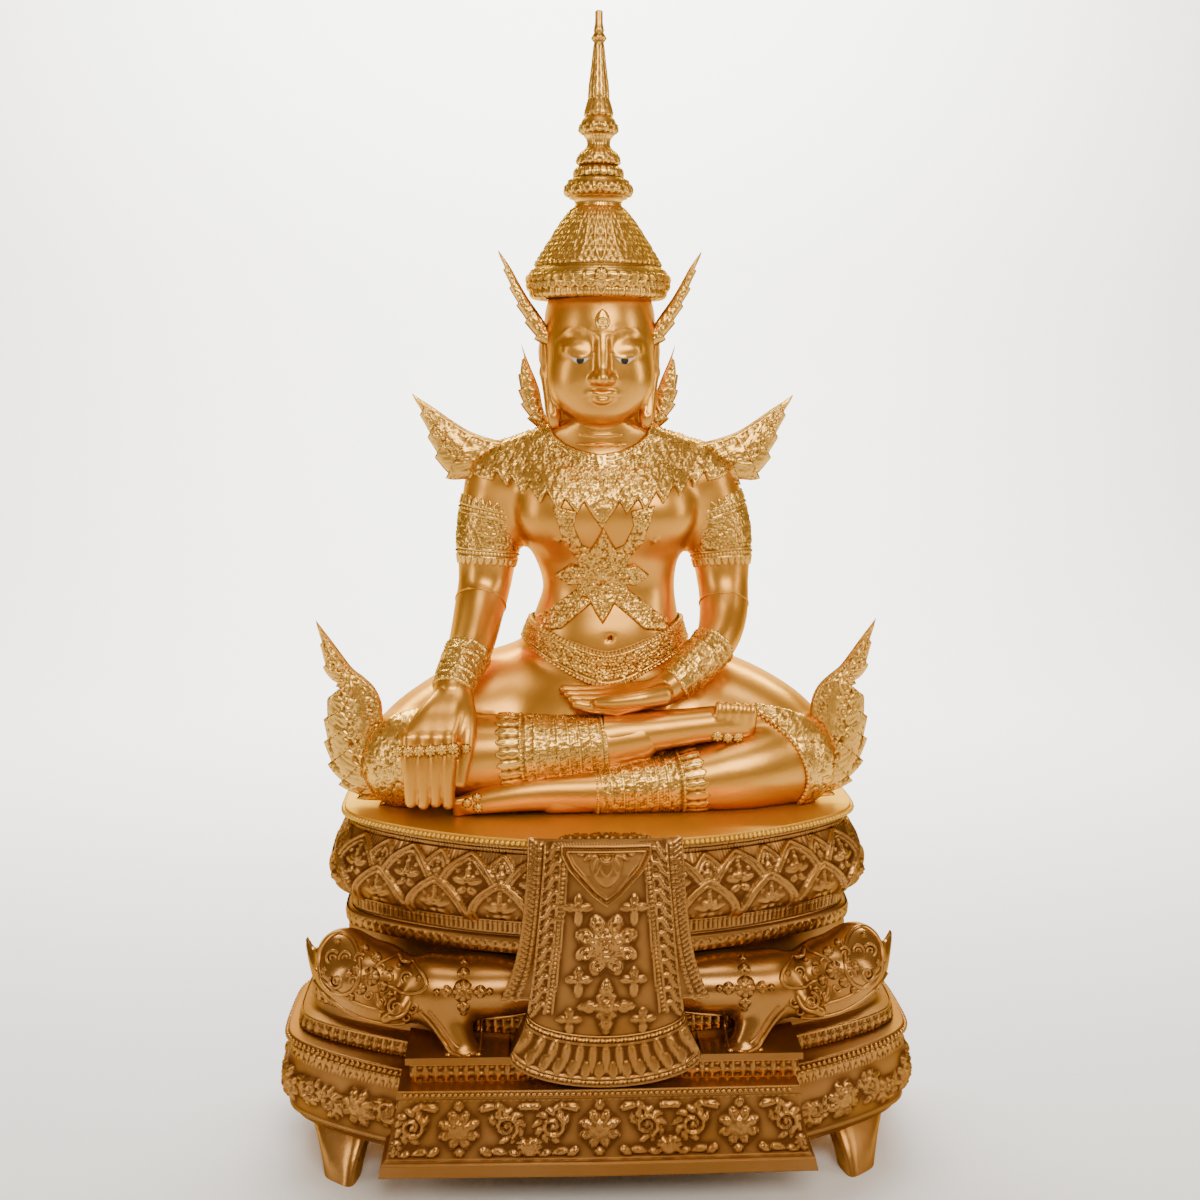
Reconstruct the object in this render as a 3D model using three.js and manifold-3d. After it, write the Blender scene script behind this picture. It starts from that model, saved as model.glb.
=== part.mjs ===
// A crowned, jewelled figure seated cross-legged on a tall elephant plinth.
// Units are millimetres, +Z is up and the figure faces -Y. The origin is on the
// floor, under the middle of the plinth. X runs to the viewer's right.
import * as THREE from 'three';
import { mergeVertices } from 'three/addons/utils/BufferGeometryUtils.js';
import Module from 'manifold-3d';

const wasm = await Module();
wasm.setup();

// Driving dimensions of the plinth
const SEAT_TOP = 374;          // height of the flat top that the figure sits on
const UNDERSIDE = 42;          // clear height under the plinth
const PLAN_POINTS = 32;        // points round every tier
const CORNER_SHARE = 0.38;     // how far forward the straight sides reach, of the half depth
// Tier edges: height, half width, half depth
const TIERS = [
  [UNDERSIDE, 328, 205], [56, 336, 210], [92, 341, 215], [121, 333, 209], [123, 337, 214],
  [132, 337, 214], [133, 324, 184], [150, 322, 182], [155, 309, 167], [184, 309, 168],
  [190, 272, 142], [247, 270, 142], [248, 272, 171], [263, 272, 171], [266, 265, 163],
  [281, 266, 163], [288, 282, 189], [306, 290, 199], [338, 281, 197], [365, 267, 188],
  [367, 272, 195], [SEAT_TOP, 272, 195],
];
const BLOCK = { x: -6, halfTop: 197, halfBottom: 217, front: 222, panel: 7 };
const PLATFORM = { half: 193, front: 198, bottom: 131, lip: 151, top: 158 };
// Foot corners seen from above, on the floor and where the foot meets the underside
const FOOT_FLOOR = [[-291, -132], [-257, -161], [-248, -122], [-280, -96]];
const FOOT_TOP = [[-302, -122], [-246, -170], [-236, -112], [-286, -78]];
const PETAL_COUNT = 22;
const UPPER_PETAL = { low: 324, high: 359, half: 29, proud: 5 };
const LOWER_PETAL = { low: 291, high: 335, half: 33, proud: 6 };
const ROSETTE = { spread: 138, z: 92, outer: 24, inner: 15, boss: 9, proud: 4 };
// Front cloth rows: height, half width, front y
const CLOTH = [
  [378, 60, -200], [345, 62, -209], [300, 66, -213], [250, 71, -214], [205, 76, -215],
  [178, 84, -218], [164, 95, -221],
];
const CLOTH_HEM_DROP = 30;
const UNDERCLOTH = [
  [375, 75, -196], [330, 77, -206], [280, 83, -206], [240, 93, -206], [216, 102, -207],
];

// Driving dimensions of the figure
const HAIRLINE = 0.4;          // gap kept between the separate castings
const FIGURE_BASE = SEAT_TOP + HAIRLINE;
// Torso sections: height, centre x, half width, front y, back y
const TORSO = [
  [470, 6, 108, -34, 122], [515, 9, 98, -36, 112], [548, 9, 84, -34, 104],
  [572, 11, 77, -28, 92], [597, 13, 72, -22, 84], [624, 11, 77, -26, 88],
  [657, 9, 92, -35, 94], [686, 8, 103, -38, 98], [712, 5, 126, -30, 98],
  [738, 4, 126, -12, 88], [754, 4, 104, -4, 78], [769, 3, 58, -6, 68],
];
const NECK = [[3, 31, 740, 48], [2, 27, 765, 44], [1, 25, 800, 42]];
// Limbs: x, y, z and radius at each station
const RIGHT_ARM = [
  [-110, 32, 708, 38], [-117, 30, 655, 34], [-122, 26, 604, 29], [-128, 8, 574, 27],
  [-136, -32, 540, 24], [-147, -62, 518, 21], [-154, -82, 500, 19],
];
const LEFT_ARM = [
  [120, 32, 708, 38], [133, 30, 655, 34], [138, 24, 604, 28], [137, 6, 570, 26],
  [127, -22, 545, 23], [106, -44, 526, 21], [84, -56, 508, 19], [66, -62, 496, 16],
];
const RIGHT_THIGH = [[-55, 48, 452, 86], [-120, 20, 446, 74], [-168, -8, 434, 63], [-200, -36, 424, 51]];
const LEFT_THIGH = [[62, 48, 453, 86], [126, 20, 447, 76], [174, -8, 436, 65], [204, -36, 424, 52]];
const RIGHT_SHIN = [
  [-200, -42, 424, 50], [-150, -70, 432, 44], [-94, -80, 440, 35], [-40, -82, 442, 28],
  [10, -80, 444, 25], [40, -79, 448, 25], [70, -78, 456, 24], [110, -77, 465, 20],
  [148, -76, 471, 16],
];
const LEFT_SHIN = [
  [202, -42, 420, 50], [150, -66, 412, 42], [100, -78, 402, 30], [40, -84, 397, 24],
  [-12, -88, 397, 23], [-50, -92, 395, 21], [-95, -97, 391, 18], [-146, -100, 386, 12],
];
const LAP = { x: 5, y: 22, z: 440, halfX: 150, halfY: 92, halfZ: 84 };
const KNEE_CAP = { x: 212, y: -38, z: 420, halfX: 34, halfY: 46, halfZ: 47 };
// An egg-shaped head on even thirds: chin to nose, nose to brow, brow to crown band
const HEAD = { x: 2, width: 112, height: 162, chin: 774, front: -46, back: 88 };
const FACE_THIRD = 0.27;       // of the head's height
const CROWN_X = 0;
const CROWN_Y = 20;
const CROWN_SIDES = 12;
// Crown profile: radius, height
const CROWN = [
  [0, 905], [73, 905], [78, 915], [78, 925], [60, 955], [44, 980], [30, 999], [39, 1018],
  [25, 1034], [20, 1050], [15, 1060], [21.5, 1078], [18, 1092], [12, 1108], [6, 1154],
  [7, 1166], [3.5, 1173], [2.5, 1196], [0, 1200],
];
// Outlines in the front view, x and z
const KNEE_FLAME = [
  [-294, 569], [-266, 534], [-246, 507], [-225, 476], [-212, 440], [-208, 400], [-205, 376],
  [-240, 379], [-269, 400], [-284, 433], [-287, 470], [-286, 488], [-267, 497], [-291, 513],
  [-287, 541],
];
const SHOULDER_WING = [
  [-199, 805], [-172, 788], [-135, 763], [-106, 754], [-88, 730], [-100, 706], [-134, 713],
  [-161, 713], [-172, 735], [-183, 766],
];
const EAR_FLAME = [
  [-106, 954], [-92, 930], [-78, 908], [-54, 890], [-48, 856], [-66, 862], [-85, 897], [-95, 918],
];
const NAPE_FLAME = [
  [-82, 857], [-66, 832], [-30, 822], [-30, 770], [-60, 766], [-78, 787], [-84, 811], [-85, 841],
];
const COLLAR = [
  [-134, 748], [-112, 715], [-92, 724], [-80, 704], [-66, 708], [-54, 688], [-38, 698],
  [-22, 682], [-14, 692], [1, 670], [16, 692], [24, 682], [40, 698], [56, 688], [70, 708],
  [84, 704], [98, 724], [118, 715], [138, 748], [80, 790], [46, 768], [2, 742], [-42, 768],
  [-80, 790],
];
const STAR = [
  [4, 664], [15, 640], [26, 640], [30, 626], [51, 614], [30, 602], [24, 588], [14, 588],
  [4, 566], [-6, 588], [-16, 588], [-22, 602], [-43, 614], [-22, 626], [-18, 640], [-7, 640],
];
const STRAPS = [
  [[-44, 690], [-26, 684], [8, 640], [-4, 622], [-34, 666]],
  [[52, 690], [34, 684], [0, 640], [12, 622], [42, 666]],
  [[-80, 560], [-58, 540], [8, 592], [0, 618], [-30, 602]],
  [[96, 560], [74, 540], [0, 592], [8, 618], [38, 602]],
];
const BELT = [
  [-130, 572], [-86, 562], [-40, 532], [5, 524], [50, 532], [98, 564], [140, 574],
  [140, 520], [98, 520], [60, 498], [5, 486], [-50, 498], [-84, 520], [-130, 520],
];

const LEAST_STEP = 0.9;        // steps in the surface lower than this are left out

const COLOURS = { gold: 0xd9902c, deepGold: 0xb9721f };

// Solids from closed meshes, and back again
function toSolid(geometry) {
  const bare = new THREE.BufferGeometry();
  bare.setAttribute('position', geometry.getAttribute('position').clone());
  if (geometry.index) bare.setIndex(geometry.index.clone());
  const welded = mergeVertices(bare, 1e-3);
  const triVerts = new Uint32Array(welded.index.array);
  const vertProperties = new Float32Array(welded.getAttribute('position').array);
  return new wasm.Manifold(new wasm.Mesh({ numProp: 3, vertProperties, triVerts }));
}

function toGeometry(solid) {
  const mesh = solid.getMesh();
  const geometry = new THREE.BufferGeometry();
  geometry.setAttribute('position', new THREE.BufferAttribute(mesh.vertProperties, 3));
  geometry.setIndex(new THREE.BufferAttribute(mesh.triVerts, 1));
  geometry.computeVertexNormals();
  return geometry;
}

function union(solids) {
  return solids.reduce((whole, piece) => whole.add(piece));
}

// A casting's outer skin, without the least steps of its surface or the pockets that
// overlapping pieces close in. It is made anew first, so that later cuts are exact.
function outerSkin(solid) {
  const even = toSolid(toGeometry(solid.asOriginal().simplify(LEAST_STEP)));
  return union(even.decompose().filter((shell) => shell.volume() > 0));
}

function mirrorX(solid) {
  return solid.mirror([1, 0, 0]);
}

function mirrorY(solid) {
  return solid.mirror([0, 1, 0]);
}

// A closed solid over rings of points, each ring running the same way round
function skin(rings) {
  const sides = rings[0].length;
  const points = rings.flat();
  const faces = [];
  for (let r = 0; r + 1 < rings.length; r++) {
    for (let s = 0; s < sides; s++) {
      const a = r * sides + s;
      const b = r * sides + ((s + 1) % sides);
      faces.push(a, b, b + sides, a, b + sides, a + sides);
    }
  }
  for (const [start, flip] of [[0, true], [(rings.length - 1) * sides, false]]) {
    const middle = new THREE.Vector3();
    for (let s = 0; s < sides; s++) middle.add(points[start + s]);
    points.push(middle.divideScalar(sides));
    const hub = points.length - 1;
    for (let s = 0; s < sides; s++) {
      const a = start + s;
      const b = start + ((s + 1) % sides);
      faces.push(...(flip ? [hub, b, a] : [hub, a, b]));
    }
  }
  let volume = 0;
  for (let i = 0; i < faces.length; i += 3) {
    const [a, b, c] = [points[faces[i]], points[faces[i + 1]], points[faces[i + 2]]];
    volume += a.dot(new THREE.Vector3().crossVectors(b, c));
  }
  if (volume < 0) faces.reverse();
  const geometry = new THREE.BufferGeometry().setFromPoints(points);
  geometry.setIndex(faces);
  return toSolid(geometry);
}

// Distance from the middle to the plan outline of a tier: straight sides, bowed front and back
function planReach(turn, halfWidth, halfDepth) {
  const c = Math.abs(Math.cos(turn));
  const s = Math.abs(Math.sin(turn));
  const drop = halfDepth * (1 - CORNER_SHARE);
  const bow = (halfWidth ** 2 + drop ** 2) / (2 * drop);
  const centre = halfDepth - bow;
  const front = s * centre + Math.sqrt((s * centre) ** 2 + bow ** 2 - centre ** 2);
  const side = halfWidth / Math.max(c, 1e-6);
  return (front ** -28 + side ** -28) ** (-1 / 28);
}

// Turns that space points evenly round a tier outline, starting at the middle of the front
function evenTurns() {
  const fine = 1440;
  const lengths = [0];
  const at = (i) => {
    const turn = (2 * Math.PI * i) / fine - Math.PI / 2;
    const reach = planReach(turn, 280, 190);
    return [reach * Math.cos(turn), reach * Math.sin(turn)];
  };
  for (let i = 1; i <= fine; i++) {
    const [x0, y0] = at(i - 1);
    const [x1, y1] = at(i);
    lengths.push(lengths[i - 1] + Math.hypot(x1 - x0, y1 - y0));
  }
  return (share) => {
    const wanted = (share - Math.floor(share)) * lengths[fine];
    let i = lengths.findIndex((length) => length >= wanted);
    i = Math.max(i, 1);
    const part = (wanted - lengths[i - 1]) / (lengths[i] - lengths[i - 1]);
    return (2 * Math.PI * (i - 1 + part)) / fine - Math.PI / 2;
  };
}
const turnAt = evenTurns();

function planPoint(share, halfWidth, halfDepth, z) {
  const turn = turnAt(share);
  const reach = planReach(turn, halfWidth, halfDepth);
  return new THREE.Vector3(reach * Math.cos(turn), reach * Math.sin(turn), z);
}

// A point on the tier wall at a height, pushed out by a small amount
function wallPoint(share, z, out) {
  let i = TIERS.findIndex((tier) => tier[0] >= z);
  i = Math.max(i, 1);
  const part = (z - TIERS[i - 1][0]) / (TIERS[i][0] - TIERS[i - 1][0]);
  const halfWidth = THREE.MathUtils.lerp(TIERS[i - 1][1], TIERS[i][1], part);
  const halfDepth = THREE.MathUtils.lerp(TIERS[i - 1][2], TIERS[i][2], part);
  return planPoint(share, halfWidth + out, halfDepth + out, z);
}

// A lotus petal with a pointed tip, laid on the tier wall
function petal(share, { low, high, half, proud }) {
  const span = half / 1640;
  const outline = [[-1, 0], [1, 0], [0.8, 0.5], [0, 1], [-0.8, 0.5]];
  const ring = (size, out) => outline.map(([s, t]) => {
    const z = low + (high - low) * (0.5 + (t - 0.5) * size);
    return wallPoint(share + s * span * size, z, out);
  });
  return skin([ring(1, -4), ring(0.86, proud)]);
}

// A limb through stations of x, y, z and radius, with round rings square to its path
function limb(stations, { sides = 8, grow = 0, from = 0, to = 1, flat = 1 } = {}) {
  const path = new THREE.CatmullRomCurve3(stations.map(([x, y, z]) => new THREE.Vector3(x, y, z)));
  const spans = stations.length - 1;
  const count = Math.max(1, Math.round((to - from) * spans));
  const across = new THREE.Vector3(0, 1, 0.02).normalize();
  const rings = [];
  for (let i = 0; i <= count; i++) {
    const t = from + ((to - from) * i) / count;
    const centre = path.getPoint(t);
    const along = path.getTangent(t);
    const low = Math.min(Math.floor(t * spans), spans - 1);
    const radius = THREE.MathUtils.lerp(stations[low][3], stations[low + 1][3], t * spans - low);
    const side = new THREE.Vector3().crossVectors(along, across).normalize();
    const up = new THREE.Vector3().crossVectors(side, along).normalize();
    rings.push(Array.from({ length: sides }, (_, k) => {
      const turn = (2 * Math.PI * (k + 0.5)) / sides;
      return centre.clone()
        .addScaledVector(side, (radius + grow) * Math.cos(turn))
        .addScaledVector(up, flat * (radius + grow) * Math.sin(turn));
    }));
  }
  return skin(rings);
}

// A body of level sections: height, centre x, half width, front y, back y
function sections(list, sides, grow = 0) {
  return skin(list.map(([z, x, half, front, back]) => Array.from({ length: sides }, (_, i) => {
    const turn = (2 * Math.PI * (i + 0.5)) / sides;
    const c = Math.cos(turn);
    const s = Math.sin(turn);
    const reach = (back - front) / 2 + grow;
    return new THREE.Vector3(
      x + Math.sign(c) * (half + grow) * Math.abs(c) ** 0.86,
      (front + back) / 2 + Math.sign(s) * reach * Math.abs(s) ** 0.86,
      z,
    );
  })));
}

function ball(x, y, z, halfX, halfY, halfZ, around = 10, down = 7) {
  const geometry = new THREE.SphereGeometry(1, around, down);
  geometry.rotateX(Math.PI / 2);
  geometry.scale(halfX, halfY, halfZ);
  geometry.translate(x, y, z);
  return toSolid(geometry);
}

// A plate cut to an outline of x and z, from a front y to a back y
function frontPlate(outline, front, back) {
  const shape = new THREE.Shape(outline.map(([x, z]) => new THREE.Vector2(x, z)));
  const geometry = new THREE.ExtrudeGeometry(shape, { depth: back - front, bevelEnabled: false });
  geometry.rotateX(Math.PI / 2);
  geometry.translate(0, back, 0);
  return toSolid(geometry);
}

// A flower plate with pointed petals and a round boss, facing -Y
function rosette(x, front, z, { outer, inner, boss, proud }, petals = 6) {
  const outline = Array.from({ length: petals * 2 }, (_, i) => {
    const turn = (Math.PI * i) / petals;
    const radius = i % 2 ? inner : outer;
    return [x + radius * Math.sin(turn), z + radius * Math.cos(turn)];
  });
  const plate = frontPlate(outline, front - proud, front + 14);
  return boss ? plate.add(ball(x, front - proud, z, boss, proud * 0.8, boss, 6, 4)) : plate;
}

// A hanging panel through rows of height, half width and front y, cut off by a bowed hem
function hangingPanel(rows, hemDrop) {
  const columns = 8;
  const rings = rows.map(([z, half, front], row) => {
    const last = row === rows.length - 1;
    const face = [];
    for (let c = 0; c <= columns; c++) {
      const share = (2 * c) / columns - 1;
      const low = last ? hemDrop * Math.sqrt(1 - share * share * 0.999) : 0;
      face.push(new THREE.Vector3(half * share, front + 9 * share * share, z - low));
    }
    for (const corner of [face[columns], face[0]]) {
      face.push(new THREE.Vector3(corner.x * 0.9, -140, corner.z));
    }
    return face;
  });
  return skin(rings);
}

// An elephant's fore part, plainer at the back of the plinth
function elephant(atFront) {
  const pieces = [
    ball(-124, -148, 213, 90, 42, 32, 8, 6),
    ball(-240, -140, 224, 50, 40, 33, 8, 5),
    limb([[-160, -166, 208, 26], [-141, -180, 154, 17]], { sides: 6 }),
  ];
  if (atFront) {
    pieces.push(limb([
      [-214, -160, 196, 17], [-256, -156, 204, 15], [-288, -136, 218, 10], [-302, -116, 236, 5],
      [-310, -104, 250, 2],
    ], { sides: 5 }));
    pieces.push(ball(-204, -178, 230, 30, 10, 17, 7, 4));
    pieces.push(ball(-266, -120, 240, 24, 30, 26, 6, 4));
    pieces.push(rosette(-140, -186, 220, { outer: 23, inner: 9, boss: 0, proud: 6 }, 4));
  }
  return union(pieces);
}

function block(atFront) {
  const edges = [[UNDERSIDE, 0], [56, 0], [58, BLOCK.panel], [122, BLOCK.panel], [124, 0], [132, 0]];
  const rings = edges.map(([z, back]) => {
    const part = (z - UNDERSIDE) / (132 - UNDERSIDE);
    const half = THREE.MathUtils.lerp(BLOCK.halfBottom, BLOCK.halfTop, part) - back * 0.5;
    const y = -BLOCK.front + back;
    return [[-half, y + 3], [0, y], [half, y + 3], [half, -120], [-half, -120]]
      .map(([x, depth]) => new THREE.Vector3(BLOCK.x + x, depth, z));
  });
  const flowers = atFront ? [-1, 0, 1].map((side) => rosette(
    BLOCK.x + side * ROSETTE.spread, -BLOCK.front + BLOCK.panel, ROSETTE.z, ROSETTE,
  )) : [];
  return union([skin(rings), ...flowers]);
}

function platform() {
  const { half, front, bottom, lip, top } = PLATFORM;
  const row = [[-half, bottom], [half, bottom], [half, lip], [-half, lip]];
  const slab = [[-half - 4, lip], [half + 4, lip], [half + 4, top], [-half - 4, top]];
  return frontPlate(row, -front, -120).add(frontPlate(slab, -front - 4, -120));
}

function foot() {
  const ring = (corners, z) => corners.map(([x, y]) => new THREE.Vector3(x, y, z));
  return skin([ring(FOOT_FLOOR, 0), ring(FOOT_TOP, UNDERSIDE + 6)]);
}

function halfPlinth(atFront) {
  const animal = elephant(atFront);
  return union([animal, mirrorX(animal), block(atFront), platform(), foot(), mirrorX(foot())]);
}

// The petals stand along the front and the sides, and the back is left plain
function petalRows() {
  const rows = [];
  const shows = (share) => Math.abs(share - 0.5) > 0.2;
  for (let i = 0; i < PETAL_COUNT; i++) {
    const upper = i / PETAL_COUNT;
    const lower = (i + 0.5) / PETAL_COUNT;
    if (shows(upper)) rows.push(petal(upper, UPPER_PETAL));
    if (shows(lower)) rows.push(petal(lower, LOWER_PETAL));
  }
  return union(rows);
}

function makePlinth() {
  const tiers = skin(TIERS.map(([z, halfWidth, halfDepth]) => Array.from(
    { length: PLAN_POINTS },
    (_, i) => planPoint(i / PLAN_POINTS, halfWidth, halfDepth, z),
  )));
  const flap = frontPlate([[-46, 374], [46, 374], [44, 344], [0, 306], [-44, 344]], -217, -195);
  const flower = rosette(0, -213, 276, { outer: 31, inner: 16, boss: 10, proud: 5 }, 8);
  const lozenge = rosette(0, -214, 212, { outer: 25, inner: 11, boss: 0, proud: 6 }, 4);
  const cloth = union([
    hangingPanel(UNDERCLOTH, 0), hangingPanel(CLOTH, CLOTH_HEM_DROP), flap, flower, lozenge,
  ]);
  return outerSkin(union([tiers, petalRows(), halfPlinth(true), mirrorY(halfPlinth(false)), cloth]));
}

// Figure, cast in one with its crown and jewellery
function makeArm(stations, armlet, bracelet) {
  return union([
    limb(stations),
    limb(stations, { grow: 4, from: armlet[0], to: armlet[1] }),
    limb(stations, { grow: 4, from: bracelet[0], to: bracelet[1] }),
  ]);
}

function rightHand() {
  const palm = [[-154, -82, 500, 20], [-161, -104, 484, 26], [-168, -126, 462, 30]];
  const pieces = [limb(palm, { flat: 0.5 })];
  pieces.push(limb([[-205, -134, 452, 7], [-135, -130, 454, 7]], { sides: 6 }));
  for (let i = 0; i < 4; i++) {
    const x = -198 + 12.5 * i;
    const tip = 400 - 3 * (i % 2);
    const finger = [[x, -128, 462, 7.5], [x + 1, -134, 440, 7], [x + 2, -131, tip, 5]];
    pieces.push(limb(finger, { sides: 5 }));
  }
  pieces.push(limb([[-146, -118, 470, 9], [-143, -128, 446, 8], [-148, -130, 420, 6]], { sides: 5 }));
  return union(pieces);
}

function leftHand() {
  const pieces = [limb([[70, -60, 498, 19], [40, -66, 490, 27], [4, -70, 488, 27]], { flat: 1.15 })];
  for (let i = 0; i < 4; i++) {
    const y = -50 - 13 * i;
    const z = 491 - 2 * i;
    pieces.push(limb([[14, y, z, 8], [-16, y, z, 7], [-38 + 3 * i, y, z, 5]], { sides: 5 }));
  }
  pieces.push(limb([[50, -88, 494, 9], [24, -92, 492, 8], [4, -92, 490, 5]], { sides: 5 }));
  return union(pieces);
}

function toes(x, y, z, stepZ, reach) {
  const pieces = [];
  for (let i = 0; i < 5; i++) {
    const level = z + stepZ * i;
    pieces.push(limb([[x, y, level, 6], [x + reach, y - 2, level, 4.5]], { sides: 5 }));
  }
  return union(pieces);
}

// The bare head as an egg, widest at the temples, from the chin up into the crown
function egg() {
  const widest = 0.62;
  const levels = [0.02, 0.06, 0.13, 0.23, 0.36, 0.5, 0.64, 0.86];
  return sections(levels.map((level) => {
    const off = Math.abs(level - widest) / (level < widest ? widest : 1.1);
    const full = Math.sqrt(1 - off ** 2.4);
    const depth = (HEAD.back - HEAD.front) * (1 - full);
    const z = HEAD.chin + HEAD.height * level;
    return [z, HEAD.x, HEAD.width * 0.5 * full, HEAD.front + depth * 0.06, HEAD.back - depth * 0.6];
  }), 12);
}

function face() {
  const level = (share) => HEAD.chin + HEAD.height * share;
  const wedge = (half, back, proud, z) => [[-half, back], [half, back], [0, proud]]
    .map(([x, y]) => new THREE.Vector3(HEAD.x + x, HEAD.front + y, z));
  const nose = skin([
    wedge(3, 0, -4, level(FACE_THIRD * 2)), wedge(9, 2, -15, level(FACE_THIRD)),
    wedge(6, 4, -9, level(FACE_THIRD) - 5),
  ]);
  const lips = ball(HEAD.x, HEAD.front + 2, level(FACE_THIRD * 0.66), 16, 6, 5, 8, 6);
  const chin = ball(HEAD.x, HEAD.front + 8, level(0.05), 16, 8, 9, 8, 6);
  const lids = [-1, 1].map((side) => ball(
    HEAD.x + side * HEAD.width * 0.21, HEAD.front + 3, level(0.46), 13, 6, 6, 8, 6,
  ));
  const jewel = rosette(
    HEAD.x, HEAD.front - 4, level(FACE_THIRD * 2.55), { outer: 10, inner: 6, boss: 0, proud: 2 }, 4,
  );
  return union([nose, lips, chin, jewel, ...lids]);
}

function makeHead() {
  const lobe = limb([[-56, 22, 850, 8], [-54, 16, 812, 7], [-48, 6, 774, 7]], { sides: 6 });
  const flames = union([frontPlate(EAR_FLAME, -2, 12), frontPlate(NAPE_FLAME, 34, 46), lobe]);
  const crown = new THREE.LatheGeometry(CROWN.map(([r, z]) => new THREE.Vector2(r, z)), CROWN_SIDES);
  crown.rotateX(Math.PI / 2);
  crown.translate(CROWN_X, CROWN_Y, 0);
  return union([
    egg(), face(), toSolid(crown), flames, mirrorX(flames).translate([3, 0, 0]),
  ]);
}

function makeFigure() {
  const torso = sections(TORSO, 12);
  const armour = sections(TORSO, 12, 4).add(limb(NECK, { grow: 3, from: 0, to: 0.4 }));
  const collar = armour.intersect(frontPlate(COLLAR, -80, 140));
  const beltShape = sections(TORSO, 12, 6).intersect(frontPlate(BELT, -80, 140));
  const chest = sections(TORSO, 12, 3).intersect(union(STRAPS.map((strap) => frontPlate(strap, -80, 10))));
  const star = sections(TORSO, 12, 8).intersect(frontPlate(STAR, -80, 10));
  const wing = frontPlate(SHOULDER_WING, 14, 34);
  const upper = union([
    torso, limb(NECK, { sides: 12 }), collar, beltShape, chest, star,
    wing, mirrorX(wing).translate([13, 0, 0]),
    makeArm(RIGHT_ARM, [0.07, 0.26], [0.7, 0.93]), makeArm(LEFT_ARM, [0.06, 0.23], [0.62, 0.9]),
    rightHand(), leftHand(), makeHead(),
  ]);
  const cap = ball(KNEE_CAP.x, KNEE_CAP.y, KNEE_CAP.z, KNEE_CAP.halfX, KNEE_CAP.halfY, KNEE_CAP.halfZ);
  const lower = union([
    ball(LAP.x, LAP.y, LAP.z, LAP.halfX, LAP.halfY, LAP.halfZ, 12, 8),
    limb(RIGHT_THIGH), limb(LEFT_THIGH),
    limb(LEFT_SHIN), limb(RIGHT_SHIN),
    limb(LEFT_SHIN, { grow: 3, from: 0.27, to: 0.57 }), limb(RIGHT_SHIN, { grow: 3, from: 0.25, to: 0.5 }),
    toes(146, -82, 458, 6, 18), toes(-140, -104, 380, 3.5, -12),
    cap, mirrorX(cap),
  ]);
  const floor = frontPlate([[-400, 200], [400, 200], [400, FIGURE_BASE], [-400, FIGURE_BASE]], -300, 300);
  return outerSkin(union([upper, lower]).subtract(floor));
}

// Knee flames, cast apart and set against the knees with a hairline all round
function makeFlame(side, figure) {
  const plate = frontPlate(KNEE_FLAME, -62, -40);
  const placed = side < 0 ? plate : mirrorX(plate).translate([-4, 0, 0]);
  const reach = { min: [side < 0 ? -320 : 190, -75], max: [side < 0 ? -190 : 320, -25] };
  const window = frontPlate([
    [reach.min[0], 350], [reach.max[0], 350], [reach.max[0], 600], [reach.min[0], 600],
  ], reach.min[1], reach.max[1]);
  const knee = figure.intersect(window);
  const gap = HAIRLINE;
  const shifts = [[gap, 0, 0], [-gap, 0, 0], [0, gap, 0], [0, -gap, 0], [0, 0, gap]];
  return placed.subtract(union(shifts.map((shift) => knee.translate(shift))));
}

const figure = makeFigure();
const pieces = {
  plinth: [makePlinth(), COLOURS.deepGold],
  figure: [figure, COLOURS.gold],
  left_knee_flame: [makeFlame(1, figure), COLOURS.gold],
  right_knee_flame: [makeFlame(-1, figure), COLOURS.gold],
};

const part = new THREE.Group();
for (const [name, [solid, color]] of Object.entries(pieces)) {
  const mesh = new THREE.Mesh(
    toGeometry(solid),
    new THREE.MeshStandardMaterial({ color, metalness: 0.7, roughness: 0.35 }),
  );
  mesh.name = name;
  part.add(mesh);
}
export default part;
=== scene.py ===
"""A crowned, jewelled figure seated on a tall elephant plinth, dressed around its CAD frame."""
import math

import bpy
import numpy as np
from mathutils import Matrix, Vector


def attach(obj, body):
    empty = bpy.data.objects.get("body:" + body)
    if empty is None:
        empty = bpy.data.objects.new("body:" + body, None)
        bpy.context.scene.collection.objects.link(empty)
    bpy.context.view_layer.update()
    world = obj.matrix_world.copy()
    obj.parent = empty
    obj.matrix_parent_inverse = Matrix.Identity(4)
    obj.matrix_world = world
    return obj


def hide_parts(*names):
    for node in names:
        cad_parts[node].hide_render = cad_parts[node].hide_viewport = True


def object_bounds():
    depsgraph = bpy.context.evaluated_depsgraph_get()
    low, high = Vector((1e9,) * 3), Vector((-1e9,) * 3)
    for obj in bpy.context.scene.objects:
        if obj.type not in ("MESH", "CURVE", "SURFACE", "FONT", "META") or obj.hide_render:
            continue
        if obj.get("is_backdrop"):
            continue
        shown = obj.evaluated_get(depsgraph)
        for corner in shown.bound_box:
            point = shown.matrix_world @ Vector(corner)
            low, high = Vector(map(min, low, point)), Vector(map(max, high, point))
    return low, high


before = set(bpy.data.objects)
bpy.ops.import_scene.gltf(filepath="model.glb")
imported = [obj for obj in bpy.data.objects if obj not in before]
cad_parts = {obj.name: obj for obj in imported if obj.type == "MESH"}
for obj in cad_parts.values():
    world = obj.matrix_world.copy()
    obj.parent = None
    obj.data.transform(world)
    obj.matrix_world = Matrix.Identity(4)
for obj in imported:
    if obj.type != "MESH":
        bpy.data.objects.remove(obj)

CAD_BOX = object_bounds()

bl_info = {
    "name": "Seated crowned figure",
    "version": (1, 0, 0),
    "blender": (4, 5, 0),
    "location": "3D View > Sidebar > Statue",
    "description": "Builds a cast and gilded seated figure on its elephant plinth",
    "category": "Object",
}

# Everything below is in millimetres until it becomes a mesh
MM = 0.001

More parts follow.
